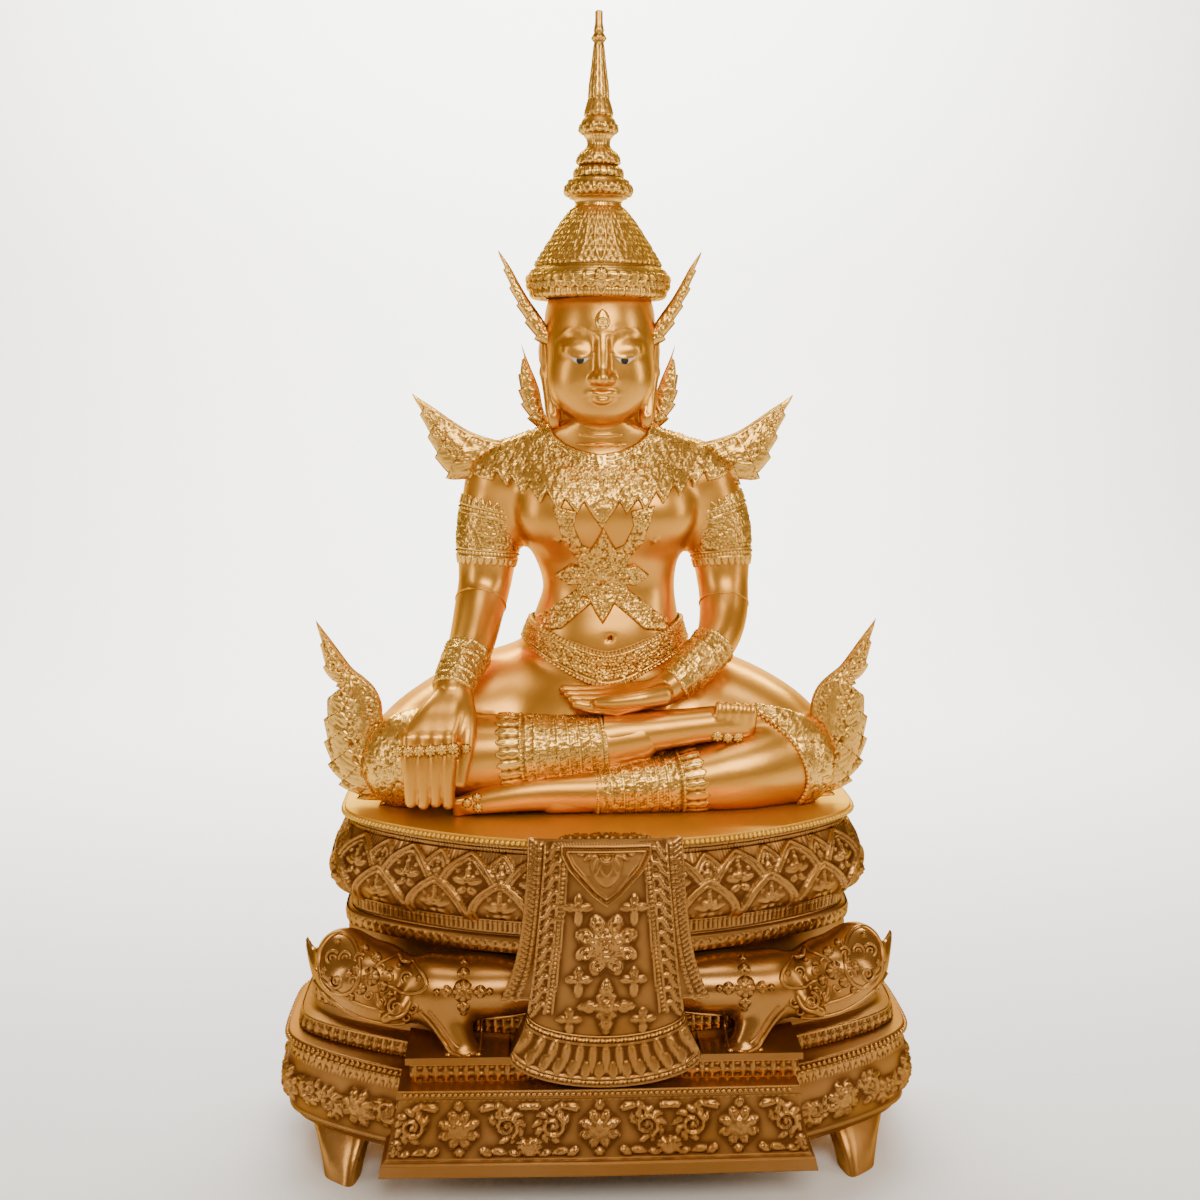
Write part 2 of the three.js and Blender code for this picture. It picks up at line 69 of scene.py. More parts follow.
CORNER_SHARE = 0.38
SEAT = 374.0
UNDERSIDE = 42.0
PLATFORM_BACK = -120.0
BLOCK_X = -6.0
BLOCK_FRONT = -222.0

# Torso sections: height, centre x, half width, front y, back y
TORSO = [
    (462, 5, 112, -38, 124), (515, 9, 98, -36, 112), (548, 9, 84, -34, 104), (572, 11, 77, -28, 92),
    (597, 13, 72, -22, 84), (624, 11, 77, -26, 88), (657, 9, 92, -35, 94), (686, 8, 103, -38, 98),
    (712, 5, 122, -32, 98), (734, 4, 124, -16, 88), (752, 4, 104, -5, 78), (769, 3, 60, -6, 68),
]
# Limbs: x, y, z and radius at each station
RIGHT_ARM = [
    (-106, 32, 706, 38), (-117, 30, 655, 34), (-122, 26, 604, 29), (-128, 8, 574, 27),
    (-136, -32, 540, 24), (-147, -62, 518, 21), (-154, -82, 500, 19),
]
LEFT_ARM = [
    (116, 32, 706, 38), (133, 30, 655, 34), (138, 24, 604, 28), (137, 6, 570, 26),
    (127, -22, 545, 23), (106, -44, 526, 21), (84, -56, 508, 19), (66, -62, 496, 16),
]
RIGHT_THIGH = [(-55, 48, 452, 86), (-120, 20, 446, 74), (-168, -8, 434, 63), (-200, -36, 424, 51)]
LEFT_THIGH = [(62, 48, 453, 86), (126, 20, 447, 76), (174, -8, 436, 65), (204, -36, 424, 52)]
RIGHT_SHIN = [
    (-200, -42, 424, 50), (-150, -70, 432, 44), (-94, -80, 438, 37), (-40, -82, 442, 31),
    (10, -80, 447, 26), (40, -79, 452, 24),
]
LEFT_SHIN = [
    (202, -42, 420, 50), (150, -66, 412, 42), (98, -78, 405, 32), (40, -84, 400, 26),
    (-12, -88, 397, 23), (-50, -92, 395, 21),
]


# Sizes and colours

class StatuePlinthSizes(bpy.types.PropertyGroup):
    """What a user would change on the plinth"""
    petals: bpy.props.IntProperty(
        name="Petals", description="Lotus petals in each row, all the way round", default=22, min=8)
    bead_pitch: bpy.props.FloatProperty(
        name="Bead pitch", description="Distance between the beads of a rim",
        default=0.0052, unit="LENGTH")
    relief: bpy.props.FloatProperty(
        name="Relief", description="Depth of the carving as a share of the full depth",
        default=1.0, min=0.2, max=1.5, subtype="FACTOR")


class StatueFigureSizes(bpy.types.PropertyGroup):
    """What a user would change on the figure"""
    skin_step: bpy.props.FloatProperty(
        name="Skin step", description="Size of a face on the smooth body",
        default=0.0047, unit="LENGTH")
    spacing: bpy.props.FloatProperty(
        name="Carving spacing", description="Size of the carving's faces, as a multiple of the finest",
        default=1.24, min=1.0, max=3.0)


class StatueColours(bpy.types.PropertyGroup):
    """The gilding"""
    gold: bpy.props.FloatVectorProperty(
        name="Figure gold", description="Colour of the gilding on the figure",
        default=(0.85, 0.42, 0.072), size=3, subtype="COLOR")
    deep_gold: bpy.props.FloatVectorProperty(
        name="Plinth gold", description="Colour of the browner gilding on the plinth",
        default=(0.45, 0.225, 0.066), size=3, subtype="COLOR")
    polish: bpy.props.FloatProperty(
        name="Polish", description="Roughness of the satin gilding",
        default=0.32, min=0.05, max=1.0, subtype="FACTOR")


# Curves and shapes

def smooth_rows(rows, per=6):
    """In-between rows on a smooth curve through the given rows."""
    rows = np.asarray(rows, float)
    ends = np.vstack([2 * rows[0] - rows[1], rows, 2 * rows[-1] - rows[-2]])
    out = []
    for i in range(len(rows) - 1):
        a, b, c, d = ends[i:i + 4]
        for t in np.arange(per) / per:
            out.append(0.5 * (2 * b + (c - a) * t + (2 * a - 5 * b + 4 * c - d) * t * t
                              + (3 * b - a - 3 * c + d) * t ** 3))
    out.append(rows[-1])
    return np.array(out)


def resample(points, count):
    """Points spaced evenly along a polyline."""
    points = np.asarray(points, float)
    length = np.r_[0, np.cumsum(np.linalg.norm(np.diff(points, axis=0), axis=1))]
    at = np.linspace(0, length[-1], count)
    return np.stack([np.interp(at, length, points[:, k]) for k in range(points.shape[1])], 1)


def unit(v):
    return v / np.maximum(np.linalg.norm(v, axis=-1, keepdims=True), 1e-9)


def ease(x):
    x = np.clip(x, 0, 1)
    return x * x * (3 - 2 * x)


def inside_distance(x, z, outline):
    """Distance in from the edge of a closed outline, negative outside."""
    outline = np.asarray(outline, float)
    best = np.full(x.shape, 1e9)
    odd = np.zeros(x.shape, bool)
    for (ax, az), (bx, bz) in zip(outline, np.roll(outline, -1, 0)):
        dx, dz = bx - ax, bz - az
        t = np.clip(((x - ax) * dx + (z - az) * dz) / (dx * dx + dz * dz + 1e-9), 0, 1)
        best = np.minimum(best, np.hypot(x - ax - t * dx, z - az - t * dz))
        if az != bz:
            odd ^= ((az > z) != (bz > z)) & (x < dx * (z - az) / dz + ax)
    return np.where(odd, best, -best)


def polar(angle, radius):
    """Steps sideways and up at an angle from straight up, in degrees."""
    a = math.radians(angle)
    return radius * math.sin(a), radius * math.cos(a)


# Smooth forms as distance fields

class Field:
    """Round forms melted into one skin."""

    def __init__(self):
        self.forms = []

    def add(self, shape, low, high, blend, cut=False):
        pad = blend + 14
        self.forms.append((shape, np.asarray(low, float) - pad, np.asarray(high, float) + pad, blend, cut))

    def chain(self, stations, blend=6, cut=False, smooth=True):
        """A tube through stations of x, y, z and radius."""
        rows = smooth_rows(stations, 10) if smooth and len(stations) > 2 else np.asarray(stations, float)

        def shape(p):
            best = np.full(len(p), 1e9)
            for a, b in zip(rows[:-1], rows[1:]):
                along = b[:3] - a[:3]
                t = np.clip((p - a[:3]) @ along / (along @ along + 1e-9), 0, 1)
                away = p - a[:3] - t[:, None] * along
                best = np.minimum(best, np.sqrt(np.einsum("ij,ij->i", away, away)) - a[3] - (b[3] - a[3]) * t)
            return best
        reach = rows[:, 3:4]
        self.add(shape, (rows[:, :3] - reach).min(0), (rows[:, :3] + reach).max(0), blend, cut)

    def blob(self, centre, radii, blend=6, cut=False):
        """An ellipsoid."""
        centre, radii = np.asarray(centre, float), np.asarray(radii, float)

        def shape(p):
            near = np.linalg.norm((p - centre) / radii, axis=1)
            far = np.linalg.norm((p - centre) / radii ** 2, axis=1)
            return near * (near - 1) / np.maximum(far, 1e-9)
        self.add(shape, centre - radii, centre + radii, blend, cut)

    def loft(self, sections, blend=6):
        """A body of level sections: height, centre x, half width, front y, back y."""
        rows, power = smooth_rows(sections, 6), 2.3

        def shape(p):
            z = np.clip(p[:, 2], rows[0, 0], rows[-1, 0])
            mid, half, front, back = (np.interp(z, rows[:, 0], rows[:, k]) for k in (1, 2, 3, 4))
            deep = (back - front) / 2
            rho = (np.abs((p[:, 0] - mid) / half) ** power
                   + np.abs((p[:, 1] - (front + back) / 2) / deep) ** power) ** (1 / power)
            side = (rho - 1) * np.minimum(half, deep)
            return np.maximum(side, np.maximum(p[:, 2] - rows[-1, 0], rows[0, 0] - p[:, 2]))
        low = (rows[:, 1] - rows[:, 2]).min(), rows[:, 3].min(), rows[0, 0]
        high = (rows[:, 1] + rows[:, 2]).max(), rows[:, 4].max(), rows[-1, 0]
        self.add(shape, low, high, blend)

    @staticmethod
    def merge(old, new, blend, cut):
        """Two distances joined softly, or the second cut out of the first."""
        new = -new if cut else new
        soft = np.maximum(blend - np.abs(old - new), 0)
        soft = soft * soft / (4 * max(blend, 1e-6))
        return np.maximum(old, new) + soft if cut else np.minimum(old, new) - soft

    def at(self, p):
        """The field at any points."""
        out = np.full(len(p), 30.0)
        for shape, low, high, blend, cut in self.forms:
            near = np.flatnonzero(((p > low) & (p < high)).all(1))
            if len(near):
                out[near] = self.merge(out[near], shape(p[near]), blend, cut)
        return out

    def grid(self, low, high, step):
        """The field on a box of evenly spaced points."""
        axes = [np.arange(a, b + step, step) for a, b in zip(low, high)]
        out = np.full([len(a) for a in axes], 30.0)
        for shape, lo, hi, blend, cut in self.forms:
            spans = [np.searchsorted(a, (l, h)) for a, l, h in zip(axes, lo, hi)]
            if any(s[0] >= s[1] for s in spans):
                continue
            window = tuple(slice(*s) for s in spans)
            p = np.stack(np.meshgrid(*[a[s] for a, s in zip(axes, window)], indexing="ij"), -1)
            size = p.shape[:3]
            out[window] = self.merge(out[window], shape(p.reshape(-1, 3)).reshape(size), blend, cut)
        return axes, out

    def skin(self, low, high, step):
        """Quads on the surface of the field inside a box."""
        axes, values = self.grid(low, high, step)
        dims = np.array(values.shape) - 1
        flat = lambda c: (c[:, 0] * dims[1] + c[:, 1]) * dims[2] + c[:, 2]
        total = np.zeros((dims.prod(), 3))
        count = np.zeros(dims.prod())
        quads = []
        for axis in range(3):
            one, two = [np.take(values, np.arange(k, values.shape[axis] - 1 + k), axis) for k in (0, 1)]
            at = np.argwhere((one < 0) != (two < 0))
            others = [k for k in range(3) if k != axis]
            keep = np.ones(len(at), bool)
            for k in others:
                keep &= (at[:, k] > 0) & (at[:, k] < dims[k])
            at = at[keep]
            a, b = one[tuple(at.T)], two[tuple(at.T)]
            spot = at.astype(float)
            spot[:, axis] += a / (a - b)
            corners = []
            for du, dv in ((1, 1), (0, 1), (0, 0), (1, 0)):
                cell = at.copy()
                cell[:, others[0]] -= du
                cell[:, others[1]] -= dv
                ids = flat(cell)
                np.add.at(total, ids, spot)
                np.add.at(count, ids, 1)
                corners.append(ids)
            quad = np.stack(corners, 1)
            flip = (a < 0) == (axis == 1)
            quad[flip] = quad[flip][:, ::-1]
            quads.append(quad)
        quads = np.vstack(quads)
        used = np.flatnonzero(count)
        index = np.full(len(count), -1)
        index[used] = np.arange(len(used))
        start = np.array([a[0] for a in axes])
        points = start + step * total[used] / count[used, None]
        for _ in range(3):
            points = self.settle(points)
        return points, index[quads]

    def settle(self, points, eps=0.5):
        """Points moved along the slope onto the surface."""
        here = self.at(points)
        slope = np.stack([self.at(points + eps * np.eye(3)[k]) - here for k in range(3)], 1) / eps
        size = np.maximum((slope ** 2).sum(1), 0.2)
        return points - np.clip(here / size, -3, 3)[:, None] * slope

    def normal(self, points, eps=0.8):
        axis = np.eye(3) * eps
        return unit(np.stack([self.at(points + axis[k]) - self.at(points - axis[k]) for k in range(3)], 1))

    def cast(self, start, way, stops):
        """How far along each ray the surface is met, between stops tried in turn, or nan."""
        low, high = np.full(len(start), np.nan), np.full(len(start), np.nan)
        waiting = np.ones(len(start), bool)
        last = stops[0]
        for far in stops:
            ids = np.flatnonzero(waiting)
            if not len(ids):
                break
            hit = self.at(start[ids] + far * way[ids]) < 0
            low[ids[hit]], high[ids[hit]] = last, far
            waiting[ids[hit]] = False
            last = far
        good = np.flatnonzero(~waiting)
        for _ in range(9):
            mid = (low[good] + high[good]) / 2
            hit = self.at(start[good] + mid[:, None] * way[good]) < 0
            high[good] = np.where(hit, mid, high[good])
            low[good] = np.where(hit, low[good], mid)
        return high

    def front(self, x, z, start=-160.0, stop=60.0):
        """The first y of the surface met from the front at each x and z."""
        x, z = np.atleast_1d(x).astype(float), np.atleast_1d(z).astype(float)
        low, high = np.full(x.shape, np.nan), np.full(x.shape, np.nan)
        last = np.full(x.shape, start)
        waiting = np.ones(x.shape, bool)
        for y in np.linspace(start, stop, 90):
            ids = np.flatnonzero(waiting)
            if not len(ids):
                break
            hit = self.at(np.stack([x[ids], np.full(len(ids), y), z[ids]], 1)) < 0
            low[ids[hit]], high[ids[hit]] = last[ids[hit]], y
            waiting[ids[hit]] = False
            last[ids] = y
        good = np.flatnonzero(~waiting)
        for _ in range(9):
            mid = (low[good] + high[good]) / 2
            hit = self.at(np.stack([x[good], mid, z[good]], 1)) < 0
            high[good] = np.where(hit, mid, high[good])
            low[good] = np.where(hit, low[good], mid)
        return high


# Low relief drawn on a flat canvas, read back as heights

class Relief:
    """A canvas of heights, with stamps that keep the higher of old and new."""

    def __init__(self, width, height, grain=0.7, wrap=False, ground=0.0):
        self.width, self.height, self.grain, self.wrap = width, height, grain, wrap
        self.map = np.full((int(height / grain) + 2, int(width / grain) + 2), float(ground))

    def stamp(self, x, y, reach, shape):
        shifts = (0, -self.width, self.width) if self.wrap else (0,)
        for shift in shifts:
            cx = x + shift
            c0, c1 = int((cx - reach) / self.grain), int((cx + reach) / self.grain) + 2
            r0, r1 = int((y - reach) / self.grain), int((y + reach) / self.grain) + 2
            c0, c1 = max(c0, 0), min(c1, self.map.shape[1])
            r0, r1 = max(r0, 0), min(r1, self.map.shape[0])
            if c0 >= c1 or r0 >= r1:
                continue
            u = np.arange(c0, c1)[None, :] * self.grain - cx
            v = np.arange(r0, r1)[:, None] * self.grain - y
            window = self.map[r0:r1, c0:c1]
            np.maximum(window, shape(u + 0 * v, v + 0 * u), out=window)

    def spots(self, count, shift=0.5):
        """Evenly spaced places across the canvas."""
        return (np.arange(count) + shift) * self.width / count

    def dome(self, x, y, radius, high):
        self.stamp(x, y, radius, lambda u, v: high * np.sqrt(
            np.maximum(1 - (u / radius) ** 2 - (v / radius) ** 2, 0)))

    def ring(self, x, y, radius, wide, high):
        self.stamp(x, y, radius + wide, lambda u, v: high * np.sqrt(
            np.maximum(1 - ((np.hypot(u, v) - radius) / wide) ** 2, 0)))

    def leaf(self, x, y, length, wide, angle, high, bend=0.0, rib=0.35):
        """A pointed leaf from its base at x, y, at an angle from straight up, in degrees."""
        a = math.radians(angle)

        def shape(u, v):
            along = (u * math.sin(a) + v * math.cos(a)) / length
            across = u * math.cos(a) - v * math.sin(a) - bend * length * along * np.abs(along)
            half = wide / 2 * np.sqrt(np.clip(np.sin(np.pi * np.clip(along, 0, 1) ** 0.75), 0, 1)) + 1e-6
            part = across / half
            lump = np.sqrt(np.clip(1 - part ** 2, 0, 1)) * (1 - 0.35 * np.clip(along, 0, 1))
            lump -= rib * np.exp(-(part / 0.22) ** 2) * (np.abs(part) < 1)
            return np.where((along > 0) & (along < 1) & (np.abs(part) < 1), high * lump, -99.0)
        self.stamp(x, y, length * (1 + abs(bend)), shape)

    def line(self, points, wide, high, taper=False):
        """A rounded ridge along a polyline."""
        points = np.asarray(points, float)
        for i, ((ax, ay), (bx, by)) in enumerate(zip(points[:-1], points[1:])):
            half = wide / 2 * (1 - 0.75 * i / len(points) if taper else 1)
            mx, my = (ax + bx) / 2, (ay + by) / 2
            dx, dy = bx - ax, by - ay

            def shape(u, v):
                t = np.clip(((u + mx - ax) * dx + (v + my - ay) * dy) / (dx * dx + dy * dy + 1e-9), 0, 1)
                away = np.hypot(u + mx - ax - t * dx, v + my - ay - t * dy)
                return high * np.sqrt(np.maximum(1 - (away / half) ** 2, 0))
            self.stamp(mx, my, math.hypot(dx, dy) / 2 + half, shape)

    def curl(self, x, y, radius, start, turns, wide, high):
        """A spiral from its outer end at an angle, in degrees, winding in."""
        t = np.linspace(0, 1, 16)
        a = np.radians(start + 360 * turns * t)
        r = radius * (1 - 0.8 * t)
        self.line(np.stack([x + r * np.cos(a), y + r * np.sin(a)], 1), wide, high, taper=True)
        self.dome(x, y, radius * 0.24, high)

    def flower(self, x, y, radius, high, petals=8, turn=0.0):
        base = 0.36 * radius
        for k in range(petals):
            a = turn + 360 * k / petals
            dx, dy = polar(a, base)
            self.leaf(x + dx, y + dy, radius - base, radius * min(0.62, 3.4 / petals), a, high, rib=0.3)
        self.ring(x, y, radius * 0.36, radius * 0.1, high * 1.1)
        self.dome(x, y, radius * 0.24, high * 1.35)

    def beads(self, y, pitch, radius, high):
        for x in self.spots(max(1, round(self.width / pitch))):
            self.dome(x, y, radius, high)

    def bar(self, y0, y1, high, edge=0.8):
        """A level moulding between two heights."""
        rows = np.arange(self.map.shape[0]) * self.grain
        lift = high * ease((rows - y0) / edge + 0.5) * ease((y1 - rows) / edge + 0.5)
        np.maximum(self.map, np.where(lift > 0.01, lift, -99)[:, None], out=self.map)

    def filigree(self, x0, x1, y0, y1, size, high, seed=1):
        """Crowded small flowers, curls and grains, as on cast jewellery."""
        rng = np.random.default_rng(seed)
        rows = max(1, round((y1 - y0) / (size * 1.7)))
        columns = max(1, round((x1 - x0) / (size * 2)))
        for r, c in np.ndindex(rows, columns):
            x = x0 + (c + 0.5 + 0.5 * (r % 2)) * (x1 - x0) / columns
            y = y0 + (r + 0.5) * (y1 - y0) / rows
            x, y = x + rng.uniform(-0.25, 0.25) * size, y + rng.uniform(-0.2, 0.2) * size
            kind = rng.integers(0, 4)
            if kind == 0:
                self.ring(x, y, size * 0.62, size * 0.3, high * 0.8)
                self.dome(x, y, size * 0.36, high)
            elif kind == 1:
                self.curl(x, y, size * 0.95, rng.uniform(0, 360), 1.2 * rng.choice([-1, 1]),
                          size * 0.55, high * 0.9)
            elif kind == 2:
                for a in range(0, 360, 90):
                    self.leaf(x, y, size * 1.1, size * 0.8, a + rng.uniform(-25, 25), high * 0.85, rib=0.2)
                self.dome(x, y, size * 0.34, high * 1.1)
            else:
                self.leaf(x, y - size, size * 2.1, size * 1.2, rng.uniform(-50, 50), high,
                          bend=rng.uniform(-0.3, 0.3))

    def grains(self, x0, x1, y0, y1, pitch, high, seed=1):
        """Close-set round grains with small ringed flowers among them."""
        rng = np.random.default_rng(seed)
        rows, columns = max(1, round((y1 - y0) / (pitch * 0.9))), max(1, round((x1 - x0) / pitch))
        for r, c in np.ndindex(rows, columns):
            x = x0 + (c + 0.5 + 0.5 * (r % 2)) * (x1 - x0) / columns + rng.uniform(-0.14, 0.14) * pitch
            y = y0 + (r + 0.5) * (y1 - y0) / rows + rng.uniform(-0.14, 0.14) * pitch
            size = pitch * rng.uniform(0.34, 0.5)
            if rng.random() < 0.2:
                self.ring(x, y, size * 1.3, size * 0.5, high * 0.9)
                self.dome(x, y, size * 0.6, high * 1.15)
            else:
                self.dome(x, y, size, high * rng.uniform(0.7, 1.1))

    def read(self, x, y):
        x = np.asarray(x, float)
        if self.wrap:
            x = np.mod(x, self.width)
        c = np.clip(x / self.grain, 0, self.map.shape[1] - 1.001)
        r = np.clip(np.asarray(y, float) / self.grain, 0, self.map.shape[0] - 1.001)
        ci, ri = c.astype(int), r.astype(int)
        fc, fr = c - ci, r - ri
        m = self.map
        return ((m[ri, ci] * (1 - fc) + m[ri, ci + 1] * fc) * (1 - fr)
                + (m[ri + 1, ci] * (1 - fc) + m[ri + 1, ci + 1] * fc) * fr)


# Meshes

def spaced(step):
    """A step of the carving, widened by the spacing the user has set."""
    return step * bpy.context.scene.statue_figure.spacing


def creased(high, wrap):
    """Height against the mean height close by: creases come out low and edges high, and the gilding paints
    shade where it is low.
    """
    mean = high
    for _ in range(3):
        for axis in (0, 1):
            room = [(0, 0), (0, 0)]
            room[axis] = (2, 2)
            wide = np.pad(mean, room, mode="wrap" if wrap and axis else "edge")
            count = mean.shape[axis]
            mean = sum(np.take(wide, range(k, k + count), axis) for k in range(5)) / 5
    return np.clip(0.36 + 2.0 * (high - mean) + 0.25 * high, 0, 1)


class Stock:
    """Vertices and faces gathered for one piece, with the height of the relief at each vertex."""

    def __init__(self):
        self.points, self.faces, self.depth, self.count = [], [], [], 0

    def put(self, points, faces, depth):
        """Points with lists of faces that share them."""
        self.points.append(points)
        self.depth.append(depth)
        self.faces += [np.asarray(part, int) + self.count for part in faces]
        self.count += len(points)

    def add(self, points, faces, depth=None):
        """A skin, without the points that no face uses."""
        points = np.asarray(points, float).reshape(-1, 3)
        depth = np.ones(len(points)) if depth is None else np.asarray(depth, float).ravel()
        used = np.unique(faces)
        index = np.full(len(points), -1)
        index[used] = np.arange(len(used))
        self.put(points[used], [index[faces]], depth[used])

    def sheet(self, grid, depth=None, wrap=False, keep=None, flip=False):
        """A grid of points as a sheet of quads, with its relief as a share of the deepest."""
        rows, columns = grid.shape[:2]
        ids = np.arange(rows * columns).reshape(rows, columns)
        if wrap:
            ids = np.hstack([ids, ids[:, :1]])
        quads = np.stack([ids[:-1, :-1], ids[:-1, 1:], ids[1:, 1:], ids[1:, :-1]], -1).reshape(-1, 4)
        if keep is not None:
            quads = quads[keep.ravel()[quads].all(1)]
        if flip:
            quads = quads[:, ::-1]
        if len(quads):
            self.add(grid, quads, None if depth is None else creased(np.clip(depth, 0, 1), wrap))

    def bridge(self, edge, back, count, flip, narrow=1.0):
        """A plain sheet from an edge back to a given depth."""
        inner = edge * (narrow, 1, 1)
        inner[:, 1] = back
        share = np.linspace(0, 1, count)[:, None, None]
        self.sheet(edge[None] * (1 - share) + inner[None] * share, flip=flip)

    def balls(self, centres, radius, around=8, down=4):
        """Small round beads."""
        centres = np.asarray(centres, float)
        tilt = np.pi * np.arange(1, down) / down
        turn = 2 * np.pi * np.arange(around) / around
        ring = np.stack([np.outer(np.sin(tilt), np.cos(turn)), np.outer(np.sin(tilt), np.sin(turn)),
                         np.outer(np.cos(tilt), np.ones(around))], -1).reshape(-1, 3)
        form = np.vstack([ring, [[0, 0, 1]], [[0, 0, -1]]])
        top, low = len(form) - 2, len(form) - 1
        quads, tris = [], []
        for k in range(around):
            n = (k + 1) % around
            tris += [[top, k, n], [low, (down - 2) * around + n, (down - 2) * around + k]]
            quads += [[r * around + k, (r + 1) * around + k, (r + 1) * around + n, r * around + n]
                      for r in range(down - 2)]
        points = (centres[:, None] + radius * form[None]).reshape(-1, 3)
        step = np.arange(len(centres))[:, None, None] * len(form)
        faces = [(np.array(kind)[None] + step).reshape(-1, len(kind[0])) for kind in (quads, tris)]
        self.put(points, faces, np.ones(len(points)))

    def piece(self, name, finish, slot, replaces=()):
        """The gathered mesh as one named piece."""
        mesh = bpy.data.meshes.new(name)
        points = np.vstack(self.points) * MM
        sizes = np.concatenate([np.full(len(f), f.shape[1]) for f in self.faces])
        loops = np.concatenate([f.ravel() for f in self.faces])
        mesh.vertices.add(len(points))
        mesh.vertices.foreach_set("co", points.astype(np.float32).ravel())
        mesh.loops.add(len(loops))
        mesh.loops.foreach_set("vertex_index", loops.astype(np.int32))
        mesh.polygons.add(len(sizes))
        starts = np.r_[0, np.cumsum(sizes)[:-1]]
        mesh.polygons.foreach_set("loop_start", starts.astype(np.int32))
        mesh.update(calc_edges=True)
        mesh.validate()
        mesh.polygons.foreach_set("use_smooth", np.ones(len(mesh.polygons), bool))
        # The relief attribute is the mask for the painted shade in the gilding's hollows, and for their
        # rougher finish
        layer = mesh.attributes.new("relief", "FLOAT", "POINT")
        layer.data.foreach_set("value", np.concatenate(self.depth).astype(np.float32))
        mesh.materials.append(finish_for(finish))
        thing = bpy.data.objects.new(name, mesh)
        bpy.context.scene.collection.objects.link(thing)
        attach(thing, "root")
        if replaces:
            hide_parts(*replaces)


def tube(stock, path, radii, sides=8, up=(0, 1, 0)):
    """A closed round tube along a path."""
    path, radii = np.asarray(path, float), np.broadcast_to(np.asarray(radii, float), (len(path),))
    along = unit(np.gradient(path, axis=0))
    side = unit(np.cross(along, np.asarray(up, float)))
    lift = unit(np.cross(side, along))
    turn = 2 * np.pi * np.arange(sides) / sides
    grid = (path[:, None] + radii[:, None, None] * (np.cos(turn)[None, :, None] * side[:, None]
            + np.sin(turn)[None, :, None] * lift[:, None]))
    ids = np.arange(len(path) * sides).reshape(len(path), sides)
    ids = np.hstack([ids, ids[:, :1]])
    quads = np.stack([ids[:-1, :-1], ids[1:, :-1], ids[1:, 1:], ids[:-1, 1:]], -1).reshape(-1, 4)
    points = np.vstack([grid.reshape(-1, 3), path[:1], path[-1:]])
    first, last = len(points) - 2, len(points) - 1
    end = (len(path) - 1) * sides
    tris = [[first, k, (k + 1) % sides] for k in range(sides)]
    tris += [[last, end + (k + 1) % sides, end + k] for k in range(sides)]
    stock.put(points, [quads, tris], np.ones(len(points)))


# Finishes

def new_finish(name):
    """A material, its shader, and the means to add nodes and join them."""
    finish = bpy.data.materials.new(name)
    finish.use_nodes = True
    tree = finish.node_tree

    def node(kind, **inputs):
        made = tree.nodes.new("ShaderNode" + kind)
        for key, value in inputs.items():
            made.inputs[key].default_value = value
        return made
    return finish, tree.nodes["Principled BSDF"], node, tree.links.new


def gilding(name, colour, polish, grain=0.12, painted_recess_shade=0.5, grain_size=260.0):
    """Satin gold paint over cast metal, duller low in the relief, with painted shade darkening it there."""
    finish, shader, node, link = new_finish(name)
    shader.inputs["Metallic"].default_value = 0.9
    shader.inputs["Specular Tint"].default_value = (0.46, 0.36, 0.15, 1.0)
    place, relief = node("TexCoord"), node("Attribute")
    relief.attribute_name = "relief"
    cloud = node("TexNoise", Scale=9.0, Detail=4.0)
    fine = node("TexNoise", Scale=grain_size, Detail=3.0)
    for noise in (cloud, fine):
        link(place.outputs["Object"], noise.inputs["Vector"])

    def blend(a, b, factor):
        mix = node("Mix")
        mix.data_type = "RGBA"
        link(factor, mix.inputs["Factor"])
        for socket, value in (("A", a), ("B", b)):
            target = [s for s in mix.inputs if s.name == socket and s.type == "RGBA"][0]
            if isinstance(value, tuple):
                target.default_value = (*value, 1.0)
            else:
                link(value, target)
        return [s for s in mix.outputs if s.type == "RGBA"][0]

    def span(source, *ends):
        scale = node("MapRange", **dict(zip(("From Min", "From Max", "To Min", "To Max"), ends)))
        link(source, scale.inputs["Value"])
        return scale.outputs["Result"]

    # dark is the colour of the painted shade laid in the hollows of the relief
    rich, dark = (tuple(c * k for c, k in zip(colour, share))
                  for share in ((0.88, 0.80, 0.66), (0.28, 0.19, 0.15)))
    tone = blend(tuple(colour), rich, span(cloud.outputs["Fac"], 0.35, 0.65, 0.0, 1.0))
    # Painted shade: full strength at the bottom of the relief, fading out a little over halfway up
    low = span(relief.outputs["Fac"], 0.0, 0.55, painted_recess_shade, 0.0)
    link(blend(tone, dark, low), shader.inputs["Base Color"])
    rough = node("Math")
    rough.operation = "ADD"
    link(span(cloud.outputs["Fac"], 0.3, 0.7, polish - 0.04, polish + 0.06), rough.inputs[0])
    link(span(relief.outputs["Fac"], 0.0, 0.6, 0.25, 0.0), rough.inputs[1])
    link(rough.outputs[0], shader.inputs["Roughness"])
    bump = node("Bump", Strength=grain, Distance=0.0008)
    link(fine.outputs["Fac"], bump.inputs["Height"])
    link(bump.outputs["Normal"], shader.inputs["Normal"])
    return finish


def flat_finish(name, colour, roughness):
    """One even colour with a faint cloud in it."""
    finish, shader, node, link = new_finish(name)
    shader.inputs["Roughness"].default_value = roughness
    noise, ramp = node("TexNoise", Scale=30.0), node("ValToRGB")
    for element, share in zip(ramp.color_ramp.elements, (0.97, 1.0)):
        element.color = (*[c * share for c in colour], 1)
    link(noise.outputs["Fac"], ramp.inputs["Fac"])
    link(ramp.outputs["Color"], shader.inputs["Base Color"])
    return finish
